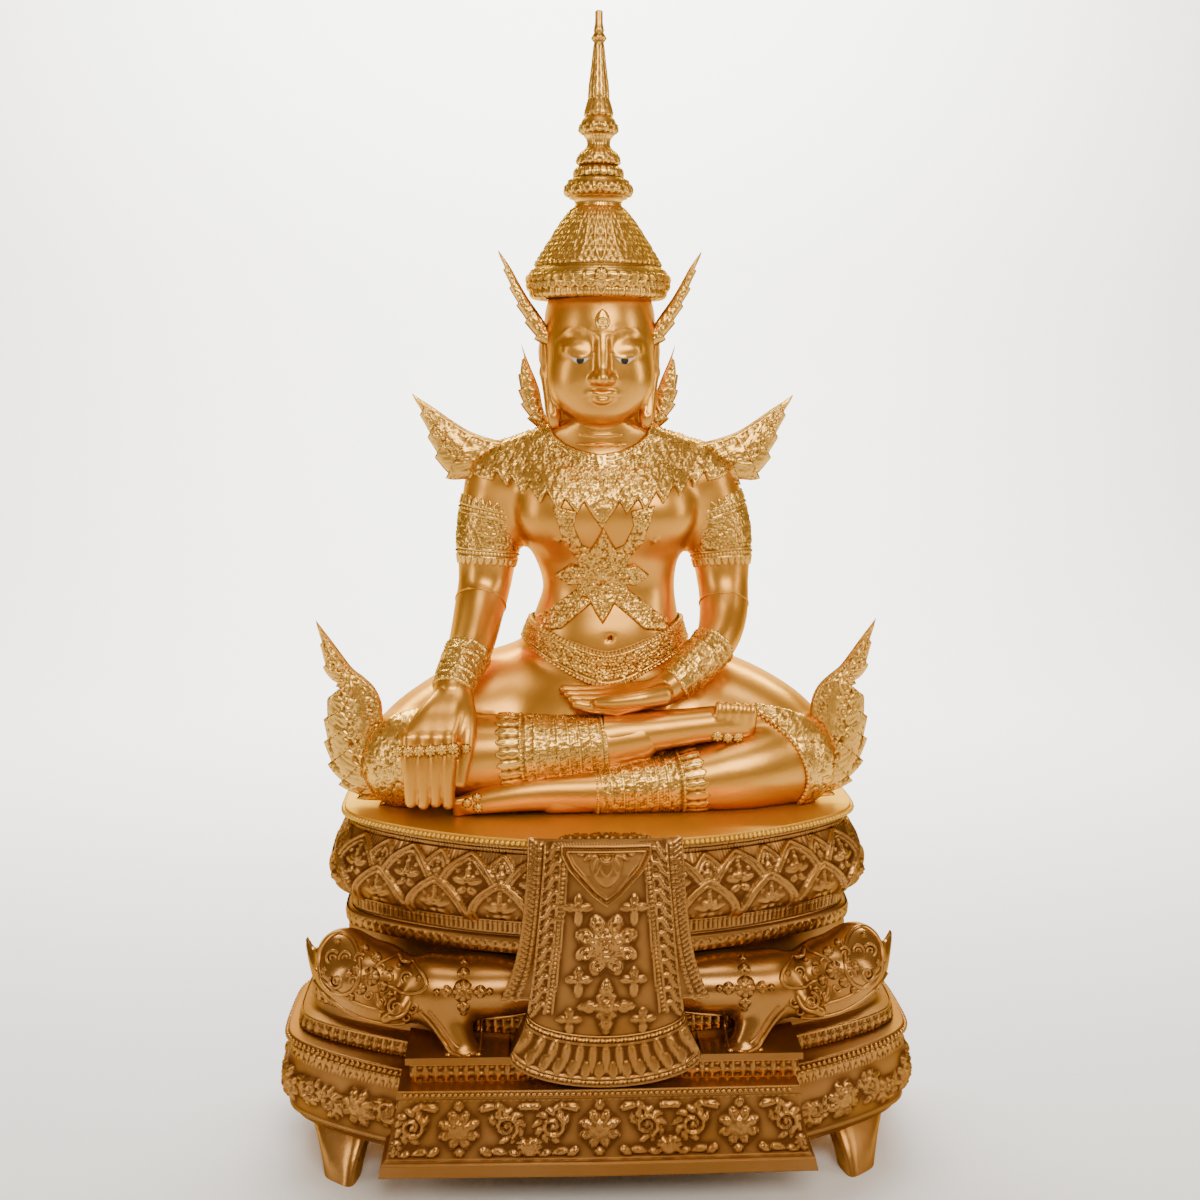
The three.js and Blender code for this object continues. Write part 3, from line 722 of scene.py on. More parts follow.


# Gildings: colour, its tint (the jewel and seat tints brighten the gold as painted light), roughness added to
# the polish, grain, painted shade low in the relief, grain size
GILDINGS = {
    "satin_gold": ("gold", (1, 1, 1), 0, 0.07, 0.5, 260),
    # Jewel gold is a brighter, paler copy of the figure gold: painted light on the grained jewellery
    "jewel_gold": ("gold", (1.14, 1.38, 1.8), -0.07, 0.1, 0.95, 260),
    # Seat gold is a brighter copy of the figure gold: painted light on the seat
    "seat_gold": ("gold", (1.05, 1.3, 1.2), 0.12, 0.07, 0.0, 260),
    "plinth_gold": ("deep_gold", (1, 1, 1), -0.04, 0.25, 0.95, 140),
    "plinth_smooth": ("deep_gold", (1, 1, 1), -0.06, 0.1, 0.6, 260),
}
INLAYS = {"shell_white": ((0.72, 0.68, 0.6), 0.35), "dark_inlay": ((0.02, 0.018, 0.016), 0.3)}


def finish_for(kind):
    """The shared finishes, made once."""
    made = bpy.data.materials.get(kind)
    if made:
        return made
    if kind in INLAYS:
        return flat_finish(kind, *INLAYS[kind])
    colours = bpy.context.scene.statue_colours
    base, tint, added, *rest = GILDINGS[kind]
    return gilding(kind, [c * k for c, k in zip(getattr(colours, base), tint)], colours.polish + added, *rest)


# The figure

def body_field():
    """The torso and arms, with the lap and legs joined on."""
    field = Field()
    field.loft(TORSO, blend=4)
    field.chain([(3, 31, 736, 46), (2, 27, 765, 42), (1, 25, 790, 36)], blend=16)
    for side in (-1, 1):
        field.blob((8 + 47 * side, -14, 678), (42, 26, 30), blend=26)
        field.blob((8 + 50 * side, -38, 651), (3.2, 4.5, 3.2), blend=2)
    field.chain(RIGHT_ARM, blend=20)
    field.chain(LEFT_ARM, blend=20)
    field.blob((11, -26, 548), (5, 7, 4), blend=5, cut=True)
    lower = Field()
    lower.blob((5, 24, 440), (152, 94, 86), blend=20)
    lower.chain(RIGHT_THIGH, blend=24)
    lower.chain(LEFT_THIGH, blend=24)
    for side in (-1, 1):
        lower.blob((208 * side, -38, 420), (36, 46, 47), blend=16)
    for shape in lower.forms:
        field.forms.append((*shape[:3], min(shape[3], 10), shape[4]))
    field.chain(LEFT_SHIN, blend=5)
    field.chain(RIGHT_SHIN, blend=5)
    return field


# Fields made once and used again by later pieces
FIELDS = {}


def the_body():
    if "body" not in FIELDS:
        FIELDS["body"] = body_field()
    return FIELDS["body"]


class STATUE_OT_body(bpy.types.Operator):
    """The smooth torso, arms, lap and legs"""
    bl_idname = "statue.body"
    bl_label = "Body"

    def execute(self, context):
        step = context.scene.statue_figure.skin_step / MM
        stock = Stock()
        points, quads = the_body().skin((-256, -150, SEAT - 9), (256, 136, 800), step)
        points[:, 2] = np.maximum(points[:, 2], SEAT + 0.2)
        stock.add(points, quads)
        stock.piece("body", "satin_gold", "gilded_figure", ["figure"])
        return {"FINISHED"}


# The camera, in metres: angles to the side, down, tilted and off the middle, and its focus in picture widths
VIEW_DISTANCE, VIEW_HEIGHT = 1.65, 0.809
VIEW_ANGLES = (2.5, 7.75, 0.2, 0.08)
VIEW_FOCUS = 1542.5 / 1200


class STATUE_OT_floor(bpy.types.Operator):
    """The pale floor, the light and the camera"""
    bl_idname = "statue.floor"
    bl_label = "Floor, light and camera"

    def execute(self, context):
        scene = context.scene
        side, depth = np.linspace(-6, 6, 3), []
        for k in range(9):
            a = math.pi / 2 * k / 8
            depth.append((2.2 + 1.2 * math.sin(a), 1.2 * (1 - math.cos(a))))
        path = [(-5.0, 0.0)] + depth + [(3.4, 2.5)]
        points = [(x, y, z) for y, z in path for x in side]
        faces = [(r * 3 + c, r * 3 + c + 1, r * 3 + c + 4, r * 3 + c + 3)
                 for r in range(len(path) - 1) for c in range(2)]
        mesh = bpy.data.meshes.new("floor")
        mesh.from_pydata(points, [], faces)
        mesh.polygons.foreach_set("use_smooth", [True] * len(mesh.polygons))
        mesh.materials.append(flat_finish("pale_floor", (0.9, 0.89, 0.87), 0.7))
        floor = bpy.data.objects.new("floor", mesh)
        scene.collection.objects.link(floor)
        floor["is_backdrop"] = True

        def lamp(name, place, aim, size, power, colour=(1, 1, 1)):
            light = bpy.data.lights.new(name, "AREA")
            light.shape = "RECTANGLE"
            light.size, light.size_y = size
            light.energy = power
            light.color = colour
            thing = bpy.data.objects.new(name, light)
            thing.location = place
            way = unit(np.array(aim, float) - np.array(place, float))
            right = unit(np.cross(way, (0, 0, 1)))
            up = np.cross(right, way)
            thing.rotation_euler = frame_matrix(right, up, -way).to_euler()
            scene.collection.objects.link(thing)

        lamp("key", (0.5, -2.7, 2.3), (0, 0, 0.75), (2.3, 1.2), 72, (1, 0.94, 0.84))
        lamp("left_strip", (-2.3, -1.3, 1.2), (0, 0, 0.7), (0.4, 1.8), 16, (1, 0.95, 0.88))
        lamp("right_strip", (2.4, -1.0, 1.3), (0, 0, 0.7), (0.4, 1.8), 16, (1, 0.93, 0.84))
        lamp("top", (0.1, -0.6, 2.7), (0, 0, 0.95), (0.9, 0.6), 8, (1, 0.95, 0.88))
        lamp("backdrop", (0.0, 1.7, 2.7), (0, 3.3, 0.5), (3.4, 0.8), 420, (1, 1, 1))
        world = bpy.data.worlds.new("room")
        world.use_nodes = True
        world.node_tree.nodes["Background"].inputs["Color"].default_value = (0.52, 0.33, 0.14, 1)
        world.node_tree.nodes["Background"].inputs["Strength"].default_value = 0.46
        scene.world = world

        yaw, pitch, roll, aim = (math.radians(a) for a in VIEW_ANGLES)
        ahead = np.array([math.sin(yaw + aim) * math.cos(pitch), math.cos(yaw + aim) * math.cos(pitch),
                          -math.sin(pitch)])
        right = unit(np.cross(ahead, (0, 0, 1)))
        up = np.cross(right, ahead)
        right, up = right * math.cos(roll) + up * math.sin(roll), up * math.cos(roll) - right * math.sin(roll)
        lens = bpy.data.cameras.new("view")
        lens.sensor_width = 36
        lens.lens = lens.sensor_width * VIEW_FOCUS
        lens.clip_start = 0.05
        camera = bpy.data.objects.new("view", lens)
        camera.location = (-VIEW_DISTANCE * math.sin(yaw), -VIEW_DISTANCE * math.cos(yaw), VIEW_HEIGHT)
        camera.rotation_euler = frame_matrix(right, up, -ahead).to_euler()
        scene.collection.objects.link(camera)
        scene.camera = camera
        return {"FINISHED"}


def frame_matrix(x, y, z):
    return Matrix(np.array([x, y, z]).T.tolist())


# Head, of an even and calm design

HEAD_X, HEAD_CHIN, HEAD_TALL, HEAD_WIDE = 2.0, 774.0, 162.0, 118.0
FACE_THIRD = 0.27


def head_level(share):
    return HEAD_CHIN + HEAD_TALL * share


def head_field():
    """An egg with its features on even thirds."""
    field, x0 = Field(), HEAD_X
    half = HEAD_WIDE / 2
    field.blob((x0, 24, head_level(0.66)), (half, 63, 62), blend=4)
    field.blob((x0, 3, head_level(0.43)), (half * 0.93, 49, HEAD_TALL * 0.43), blend=18)
    field.blob((x0, -19, head_level(0.105)), (25, 21, 17.5), blend=14)
    for side in (-1, 1):
        field.blob((x0 + 25 * side, -13, head_level(0.27)), (27, 24, 30), blend=22)
    field.chain([(3, 31, 724, 50), (3, 30, 742, 46), (2, 27, 765, 42), (1, 25, 800, 40), (1, 24, 840, 40)],
                blend=8)
    for z, wide in ((752, 46.2), (762, 44.6)):
        turn = np.linspace(0, 2 * math.pi, 25)
        field.chain([(2 + (wide - 1) * math.cos(a), 28 + (wide - 1) * math.sin(a), z, 1.6) for a in turn],
                    blend=4, smooth=False)

    def on(x, z, out=0.0):
        return float(field.front(x0 + x, z, -95, 30)[0]) - out

    brow, nose, mouth, eye = (head_level(s) for s in (0.555, FACE_THIRD, FACE_THIRD * 0.67, 0.455))
    ridge = [(x0, on(0, brow - 2) + 2, brow - 2, 5.2), (x0, on(0, brow - 14) - 1, brow - 14, 5.6),
             (x0, on(0, nose + 14) - 4, nose + 14, 5.8), (x0, on(0, nose + 3) - 8, nose + 3, 7.2)]
    for side in (-1, 1):
        spot = (x0 + 22 * side, on(22 * side, brow - 5, 6), brow - 5)
        field.blob(spot, (19, 5.5, 8), blend=14, cut=True)
        field.blob((x0 + 23 * side, on(23 * side, eye) + 6.5, eye + 2.5), (17.5, 9, 9.5), blend=9)
    field.blob((x0, on(0, brow + 2) + 5, brow + 2), (15, 7, 10), blend=10)
    field.chain(ridge, blend=9)
    for side in (-1, 1):
        field.blob((x0 + 8.5 * side, on(14 * side, nose + 3) - 1, nose + 2.5), (5.2, 6.4, 4.8), blend=6)
    lip = on(0, mouth)
    upper = [(-18, 2.6, 2.0, 1.5), (-8.5, -1.6, 2.7, 3.1), (0, -2.2, 1.8, 3.1), (8.5, -1.6, 2.7, 3.1),
             (18, 2.6, 2.0, 1.5)]
    lower = [(-13.5, 1.4, -1.8, 1.8), (0, -2.0, -5.0, 4.3), (13.5, 1.4, -1.8, 1.8)]
    for line in (upper, lower):
        field.chain([(x0 + x, lip + y, mouth + z, r) for x, y, z, r in line], blend=2.5)
    field.chain([(x0 + x, lip + y, mouth - 1.3, 0.8)
                 for x, y in ((-17, 0.6), (-8, -4.2), (0, -5.2), (8, -4.2), (17, 0.6))], blend=1.2, cut=True)
    for side in (-1, 1):
        lid = [(9.5, -2), (16, -5), (24, -5.8), (32, -4), (38.5, 0.5)]
        field.chain([(x0 + x * side, on(x * side, eye + z, -0.5), eye + z, 1.5) for x, z in lid], blend=1.2)
        arch = [(6, 2), (14, 6.5), (25, 8.5), (37, 5.5), (47, -2.5)]
        radii = (0.9, 1.2, 1.2, 1.0, 0.6)
        field.chain([(x0 + x * side, on(x * side, brow + z, -0.4), brow + z, r)
                     for (x, z), r in zip(arch, radii)], blend=2)
        field.blob((x0 + 57 * side, 22, head_level(0.46)), (6, 14, 30), blend=4)
        turn = np.radians(np.linspace(-60, 200, 12))
        field.chain([(x0 + 61 * side, 22 - 12 * math.cos(a), head_level(0.47) + 27 * math.sin(a), 2.6)
                     for a in turn], blend=2)
        field.chain([(x0 + 56 * side, 18, 828, 8), (x0 + 53 * side, 12, 804, 7.4),
                     (x0 + 50 * side, 6, 784, 8.2), (x0 + 49 * side, 5, 774, 6)], blend=5)
        field.chain([(x0 + 56 * side, 6, 820, 1.4), (x0 + 51 * side, -2, 786, 1.8)], blend=3, cut=True)
        field.chain([(x0 + x * side, 32, z, r) for x, z, r in ((50, 850, 14), (44, 806, 13), (38, 768, 12))],
                    blend=8)
    return field


class STATUE_OT_head(bpy.types.Operator):
    """The head and neck, with its inlaid eyes"""
    bl_idname = "statue.head"
    bl_label = "Head"

    def execute(self, context):
        field = FIELDS["head"] = head_field()
        stock = Stock()
        points, quads = field.skin((-74, -80, 730), (78, 98, 946), 2.2)
        stock.add(points, quads)
        stock.piece("head", "satin_gold", "gilded_figure")
        white, dark = Stock(), Stock()
        eye = head_level(0.455)
        for side in (-1, 1):
            x = np.linspace(13, 34, 36)[None, :] * side + np.zeros((10, 1))
            rim = np.interp(np.abs(x), (9.5, 16, 24, 32, 38.5), (-2, -5, -5.8, -4, 0.5))
            drop = np.linspace(0, 1, 10)[:, None] * 5.2 * np.sin(np.pi * (np.abs(x) - 12.9) / 21.3)
            z = eye + rim - 1.2 - drop
            y = field.front((HEAD_X + x).ravel(), z.ravel(), -95, 30).reshape(x.shape) - 0.5
            grid = np.stack([HEAD_X + x, y, z], -1)
            pupil = np.hypot(np.abs(x) - 23, z - (eye - 8.4)) < 4.3
            white.sheet(grid, flip=side > 0)
            dark.sheet(grid - (0, 0.3, 0), keep=pupil, flip=side > 0)
        white.piece("eye_whites", "shell_white", "gilded_figure")
        dark.piece("eye_pupils", "dark_inlay", "gilded_figure")
        return {"FINISHED"}


# Hands and feet

def hands_field():
    """The right hand reaching down over the shin and the left one open in the lap."""
    field = Field()
    field.chain([(-138, -40, 536, 22), (-147, -62, 518, 20), (-153, -80, 502, 18)], blend=6)
    for i in range(4):
        top, low = -195 + 13.2 * i, -193 + 12.4 * i
        field.chain([(-161 + 6 * i, -86, 500, 10), (-178 + 9.6 * i, -110, 482, 10.5), (top, -127, 462, 8.6)],
                    blend=7)
        field.chain([(top, -128, 462, 8.4), (top + 0.5, -134, 440, 7.6), (low, -134, 418, 7.2),
                     (low, -132, 398 - 2 * (i % 2), 6.2)], blend=1.2)
    field.chain([(-142, -92, 494, 11), (-137, -110, 474, 10), (-138, -123, 452, 8), (-143, -129, 417, 5.8)],
                blend=5)
    field.chain([(100, -46, 522, 20), (84, -56, 509, 18.5), (66, -62, 497, 15)], blend=6)
    for i in range(4):
        y, z = -48 - 12.5 * i, 493 - 2.6 * i
        field.chain([(62, -56 - 6 * i, 497 - i, 11), (16, y, z - 1, 9.2)], blend=7)
        field.chain([(16, y, z - 1, 9), (-8, y, z, 7.4), (-38 + 4 * i, y - 1, z + 3, 5)], blend=1.6)
    field.chain([(64, -84, 497, 11), (40, -95, 495, 9), (14, -96, 492, 7.4), (-4, -94, 491, 5)], blend=4)
    return field


def feet_field():
    """The upper foot with its sole turned up, and the lower one beside it."""
    field = Field()
    field.chain([(-4, -80, 450, 26), (20, -80, 454, 23.5), (51, -79, 457, 21.5), (93, -78, 462, 19),
                 (125, -77, 465, 18), (148, -77, 464, 15)], blend=5)
    for i in range(5):
        x = 121 + 8.6 * i
        field.chain([(x, -86, 466, 6.2), (x + 1, -90, 478, 5.2), (x + 1.5, -89, 486 - 0.6 * i, 4.6)],
                    blend=1.5)
    field.chain([(8, -88, 398, 24), (-10, -91, 398, 22), (-50, -94, 398, 20), (-84, -97, 396, 18),
                 (-118, -99, 391, 14.5), (-138, -101, 387, 10.5)], blend=5)
    for i in range(4):
        field.chain([(-132, -108 + 3 * i, 394 - 4.5 * i, 5), (-149, -110 + 3 * i, 392 - 4.5 * i, 4.6)],
                    blend=1.5)
    return field


class STATUE_OT_hands(bpy.types.Operator):
    """Both hands and both feet"""
    bl_idname = "statue.hands"
    bl_label = "Hands and feet"

    def execute(self, context):
        hands, feet = hands_field(), feet_field()
        FIELDS["hands"], FIELDS["feet"] = hands, feet
        stock = Stock()
        stock.add(*hands.skin((-215, -150, 386), (-112, -36, 548), 2.4))
        stock.add(*hands.skin((-50, -116, 470), (112, -26, 546), 2.4))
        stock.piece("hands", "satin_gold", "gilded_figure")
        stock = Stock()
        stock.add(*feet.skin((0, -112, 424), (172, -50, 500), 2.6))
        points, quads = feet.skin((-170, -126, 366), (2, -70, 424), 2.6)
        points[:, 2] = np.maximum(points[:, 2], SEAT + 0.2)
        stock.add(points, quads)
        stock.piece("feet", "satin_gold", "gilded_figure")
        return {"FINISHED"}


# Jewellery on the limbs

def sleeve(stock, stations, begin, end, draw, seed):
    """A carved band round a limb, drawn on a canvas of its girth by its length."""
    rows, step = smooth_rows(stations, 24), spaced(1.05)
    at = np.linspace(0, 1, len(rows))
    cut = np.linspace(begin, end, 200)
    line = np.stack([np.interp(cut, at, rows[:, k]) for k in range(4)], 1)
    length = np.linalg.norm(np.diff(line[:, :3], axis=0), axis=1).sum()
    count = max(6, int(length / step))
    line = resample(line, count)
    along = unit(np.gradient(line[:, :3], axis=0))
    side = unit(np.cross(along, (0, 1, 0.02)))
    lift = unit(np.cross(side, along))
    girth = 2 * math.pi * line[:, 3].mean()
    around = int(girth / step)
    relief = Relief(girth, length, wrap=True, ground=-3.5)
    draw(relief, seed)
    turn = 2 * np.pi * np.arange(around) / around
    s = np.linspace(0, length, count)
    high = relief.read((turn / (2 * np.pi) * girth)[None, :] + 0 * s[:, None], s[:, None] + 0 * turn[None, :])
    radius = line[:, 3][:, None] + high
    grid = (line[:, None, :3] + radius[..., None] * np.cos(turn)[None, :, None] * side[:, None]
            + radius[..., None] * np.sin(turn)[None, :, None] * lift[:, None])
    stock.sheet(grid, high / 3.0, wrap=True)


def draw_armlet(relief, seed):
    tall = relief.height
    relief.bar(9, tall - 9, 1.2, edge=1.5)
    for edge, up in ((0, 1), (tall, -1)):
        leaf_row(relief, edge + 12 * up, 12, 8, 3.4, 90 + 90 * up, 0.98)
        for y in (edge + 11 * up, edge + 19 * up):
            relief.bar(y - 1, y + 1, 3.0)
        relief.beads(edge + 15 * up, 4.2, 1.9, 3.8)
    relief.grains(0, relief.width, 21, tall - 21, 4.0, 3.2, seed)


def draw_bracelet(relief, seed):
    tall = relief.height
    relief.bar(2.5, tall - 2.5, 1.2, edge=1.5)
    relief.grains(0, relief.width, 3, tall - 3, 3.6, 2.9, seed)
    for y in (4, tall * 0.32, tall * 0.68, tall - 4):
        relief.beads(y, 3.8, 1.7, 3.6)


def draw_greave(relief, seed):
    """Leaf teeth at the calf end, then rows of fine wavy work."""
    tall = relief.height
    leaf_row(relief, 14, 13, 10, 3.8, 180, 0.98)
    leaf_row(relief, 12, 12, 10, 3.8, 0, 0.98)
    relief.bar(5, tall - 2, 1.0, edge=1.5)
    rows = max(2, round((tall - 38) / 11))
    for k in range(rows):
        y0 = 28 + k * (tall - 38) / rows
        y1 = y0 + (tall - 38) / rows
        relief.grains(0, relief.width, y0 + 1, y1 - 1, 3.3, 2.9, seed + k)
        relief.bar(y1 - 0.7, y1 + 0.7, 2.8)
    for y in (25, tall - 6):
        relief.beads(y, 4.2, 1.8, 3.8)


# Bands: limb, where along it they begin and end, drawing, seed
SLEEVES = {
    "arm_jewels": [(RIGHT_ARM, 0.05, 0.28, draw_armlet, 3), (LEFT_ARM, 0.04, 0.245, draw_armlet, 4),
                   (RIGHT_ARM, 0.7, 1.0, draw_bracelet, 5), (LEFT_ARM, 0.6, 0.92, draw_bracelet, 6)],
    "greaves": [(RIGHT_SHIN, 0.36, 0.79, draw_greave, 7), (LEFT_SHIN, 0.37, 0.8, draw_greave, 8)],
}


class STATUE_OT_limb_jewels(bpy.types.Operator):
    """Armlets, bracelets and greaves"""
    bl_idname = "statue.limb_jewels"
    bl_label = "Armlets, bracelets and greaves"

    def execute(self, context):
        for name, bands in SLEEVES.items():
            stock = Stock()
            for band in bands:
                sleeve(stock, *band)
            stock.piece(name, "jewel_gold", "gilded_figure")
        seams = Stock()
        for arm, share in ((RIGHT_ARM, 0.47), (LEFT_ARM, 0.39)):
            rows = smooth_rows(arm, 24)
            k = int(share * (len(rows) - 1))
            ahead = unit(rows[k + 1, :3] - rows[k - 1, :3])
            side = unit(np.cross(ahead, (0, 1, 0.02)))
            lift = np.cross(side, ahead)
            turn = np.linspace(0, 2 * math.pi, 49)[:, None]
            ring = rows[k, :3] + (rows[k, 3] + 0.2) * (np.cos(turn) * side + np.sin(turn) * lift)
            tube(seams, ring, 1.0, sides=5, up=tuple(ahead))
        seams.piece("arm_seams", "satin_gold", "gilded_figure")
        return {"FINISHED"}


# Jewellery laid on the front of the body

def mirrored(outline, centre):
    """A closed outline from its left half, mirrored about a line of x."""
    outline = [tuple(p) for p in outline]
    return outline + [(2 * centre - x, z) for x, z in outline[::-1]]


def patch(stock, field, outline, relief, origin, thick, step, steep=1.4, back=False):
    """Relief cast onto what lies behind an outline of x and z, with its edge sunk into the body."""
    outline, step = np.asarray(outline, float), spaced(step)
    low, high = outline.min(0) - 3, outline.max(0) + 3
    x, z = np.meshgrid(np.arange(low[0], high[0], step), np.arange(low[1], high[1], step))
    inside = inside_distance(x, z, outline)
    near = inside > -2.5
    y = np.full(x.shape, np.nan)
    y[near] = field.front(x[near], z[near], *((150.0, -20.0) if back else (-160.0, 40.0)))
    ok = near & np.isfinite(y)
    points = np.stack([x, np.nan_to_num(y), z], -1)
    normal = np.zeros_like(points)
    normal[ok] = field.normal(points[ok])
    carved = relief.read(x - origin[0], z - origin[1]) * ease(inside / 2.0)
    out = np.minimum(thick, inside * steep) + np.where(inside > 0, carved, 0)
    depth = carved / (3.2 if back else 2.8)
    stock.sheet(points + out[..., None] * normal, depth, keep=ok, flip=back)


COLLAR_LEFT = [
    (2, 742), (-20, 746), (-36, 753), (-46, 762), (-52, 772), (-80, 766), (-112, 757), (-138, 742),
    (-140, 724), (-126, 716), (-112, 713), (-108, 722), (-96, 706), (-92, 716), (-80, 698), (-74, 709),
    (-62, 690), (-55, 702), (-43, 682), (-36, 695), (-24, 680), (-17, 692), (-8, 679), (2, 664),
]
STAR_LEFT = [
    (4, 667), (-4, 652), (-12, 640), (-19, 642), (-24, 633), (-22, 625), (-30, 627), (-46, 614.5),
    (-30, 602), (-22, 604), (-24, 596), (-18, 588), (-12, 590), (-5, 576), (4, 562),
]
STRAP_TOP_LEFT = [(-50, 690), (-24, 684), (-27, 668), (-18, 648), (0, 640), (0, 622), (-20, 628), (-38, 650)]
STRAP_LOW_LEFT = [
    (-4, 602), (-22, 600), (-38, 588), (-52, 576), (-66, 566), (-66, 552), (-40, 556), (-22, 572), (0, 590),
]


class STATUE_OT_breast_jewels(bpy.types.Operator):
    """The toothed collar, crossed straps and star medallion"""
    bl_idname = "statue.breast_jewels"
    bl_label = "Collar, straps and star"

    def execute(self, context):
        body = the_body()
        stock = Stock()
        relief = Relief(300, 130, grain=0.5)
        relief.grains(8, 292, 0, 116, 3.4, 1.5, 21)
        for r in range(7):
            for k in range(-16, 17):
                x = 150 + k * 8.3 + (4.1 if r % 2 else 0)
                y = 40 + r * 10.5 + 0.0011 * (x - 150) ** 2
                if (k + r) % 3 == 0:
                    relief.flower(x, y, 4.2, 1.9, petals=6, turn=36 * r)
                elif (k + r) % 3 == 1:
                    relief.curl(x, y, 3.8, 90 * r + 40 * k, 1.2 * (1 if k < 0 else -1), 2.0, 1.8)
        for k in range(-9, 10):
            relief.leaf(150 + k * 15, 30 + 0.0035 * (k * 15) ** 2, 14, 9, 180, 2.1)
        relief.leaf(150, 90, 24, 15, 180, 2.8)
        relief.flower(150, 84, 7, 3.6, petals=6)
        arc = np.linspace(-1, 1, 60)
        for extra in (3.5, 7.5):
            relief.line(np.stack([150 + 52 * arc, 81 - extra + 24 * arc ** 2], 1), 1.6, 2.2)
        outline = mirrored(COLLAR_LEFT[::-1], 2)
        patch(stock, body, outline, relief, (2 - 150, 660), 3.2, 1.0, steep=3.0)
        patch(stock, body, outline, relief, (2 - 150, 660), 2.2, 2.2, back=True)
        stock.piece("collar", "jewel_gold", "gilded_figure")

        stock = Stock()
        grains = Relief(150, 150)
        grains.grains(0, 150, 0, 150, 4.2, 2.4, 31)
        for left in (STRAP_TOP_LEFT, STRAP_LOW_LEFT):
            for side in (left, [(8 - x, z) for x, z in left]):
                patch(stock, body, side, grains, (-71, 545), 2.4, 1.0, steep=3.0)
        star = Relief(110, 120, grain=0.5)
        star.grains(0, 110, 0, 120, 3.7, 2.0, 33)
        for a in range(0, 360, 45):
            out = (38, 22, 28, 22)[(a // 45) % 4]
            for share in (0.35, 0.62, 0.88):
                x, y = polar(a, out * share)
                star.flower(55 + x, 60 + y, 4.6 - 1.6 * share, 3.0, petals=5)
        star.flower(55, 60, 8.5, 4.0, petals=8)
        patch(stock, body, mirrored(STAR_LEFT, 4), star, (4 - 55, 614.5 - 60), 5.0, 0.95, steep=3.5)
        stock.piece("breast_jewels", "jewel_gold", "gilded_figure")
        return {"FINISHED"}


class STATUE_OT_belt(bpy.types.Operator):
    """The wide belt that dips at the front"""
    bl_idname = "statue.belt"
    bl_label = "Belt"

    def execute(self, context):
        trunk = Field()
        trunk.loft(TORSO)
        trunk.blob((5, 24, 440), (152, 94, 86), blend=10)
        turn = np.linspace(-math.pi, math.pi, 461)[:-1]
        swing = np.abs(np.sin(turn))
        front = np.cos(turn) > 0
        upper = np.where(front, 535 + 30 * swing ** 1.5, 565 - 4 * np.cos(turn) ** 2)
        lower = np.where(front, 496 + 44 * swing ** 1.8, 540 - 10 * np.cos(turn) ** 2)
        rows = 42
        share = np.linspace(0, 1, rows)[:, None]
        z = lower + (upper - lower) * share
        way = np.stack([-np.sin(turn), np.cos(turn), 0 * turn], 1)
        start = np.stack([8 + 170 * np.sin(turn) + 0 * z, 34 - 170 * np.cos(turn) + 0 * z, z], -1)
        way = np.repeat(way[None], rows, 0)
        far = trunk.cast(start.reshape(-1, 3), way.reshape(-1, 3), np.linspace(0, 160, 60)).reshape(z.shape)
        relief = Relief(520, 44, wrap=True)
        relief.grains(0, 520, 9, 34, 3.6, 3.8, 41)
        for y in (3.4, 38.5):
            relief.beads(y, 4.4, 2.0, 3.4)
        for y in (7, 35.5, 42):
            relief.bar(y - 0.9, y + 0.9, 3.0)
        high = relief.read(turn / (2 * math.pi) * 520 + 260 + 0 * share, 42 * share + 0 * turn)
        out = np.minimum(3.0, 60 * np.minimum(share, 1 - share) - 1.2) + high
        far = np.nan_to_num(far, nan=60.0)
        grid = start + (far - out)[..., None] * way
        stock = Stock()
        stock.sheet(grid, high / 4.0, wrap=True)
        stock.piece("belt", "jewel_gold", "gilded_figure")
        return {"FINISHED"}


# Knee ornaments: an inner and an outer edge from the top round to the seat
KNEE_INNER = [(160, 474), (181, 461), (198, 446), (210, 424), (214, 401), (208, 376)]
KNEE_OUTER = [(164, 482), (200, 475), (226, 463), (242, 438), (247, 408), (238, 374)]


class STATUE_OT_knee_jewels(bpy.types.Operator):
    """Carved bands over both knees, and the rosette bands of hand and feet"""
    bl_idname = "statue.knee_jewels"
    bl_label = "Knee ornaments"

    def execute(self, context):
        body = the_body()
        stock = Stock()
        relief = Relief(100, 130)
        relief.grains(0, 100, 0, 130, 4.0, 2.2, 51)
        relief.filigree(0, 100, 0, 130, 4.6, 2.2, 52)
        for side in (1, -1):
            inner, outer = smooth_rows(KNEE_INNER, 4), smooth_rows(KNEE_OUTER, 4)
            if side < 0:
                inner, outer = inner - (16, 0), outer
            outline = np.vstack([inner, outer[::-1]])
            outline[:, 0] = side * outline[:, 0] + (0 if side > 0 else -3)
            origin = (158, 370) if side > 0 else (-258, 370)
            patch(stock, body, outline, relief, origin, 2.4, 1.1)
            edge = inner.copy()
            edge[:, 0] = side * edge[:, 0] + (2.5 if side > 0 else -5.5)
            edge = resample(edge, 26)
            y = body.front(edge[:, 0], edge[:, 1])
            stock.balls(np.stack([edge[:, 0], y - 2.6, edge[:, 1]], 1)[np.isfinite(y)], 2.3)
        hands, feet = FIELDS["hands"], FIELDS["feet"]
        rail = [(-205, -137, 452), (-188, -141, 453), (-168, -141, 454), (-150, -139, 455)]
        tube(stock, resample(rail, 14), 4.6, sides=10)
        for x, y, z in resample(rail, 6):
            medal(stock, (x, y - 4.2, z), (0, -1, 0), 6.4, 3.2)
        for field, spots, begin, end, out, radius, high in (
                (hands, [(-149, 449), (-138, 452)], -160, -60, 1.2, 5.4, 2.6),
                (feet, [(120, 455), (131, 453), (142, 453)], -130, -40, 1.0, 6.2, 3.0),
                (feet, [(-128, 396), (-127, 386), (-138, 391)], -140, -60, 1.0, 5.4, 2.8)):
            for x, z in spots:
                y = field.front(x, z, begin, end)[0]
                medal(stock, (x, y - out, z), (0, -1, 0), radius, high)
        stock.piece("knee_jewels", "jewel_gold", "gilded_figure")
        return {"FINISHED"}


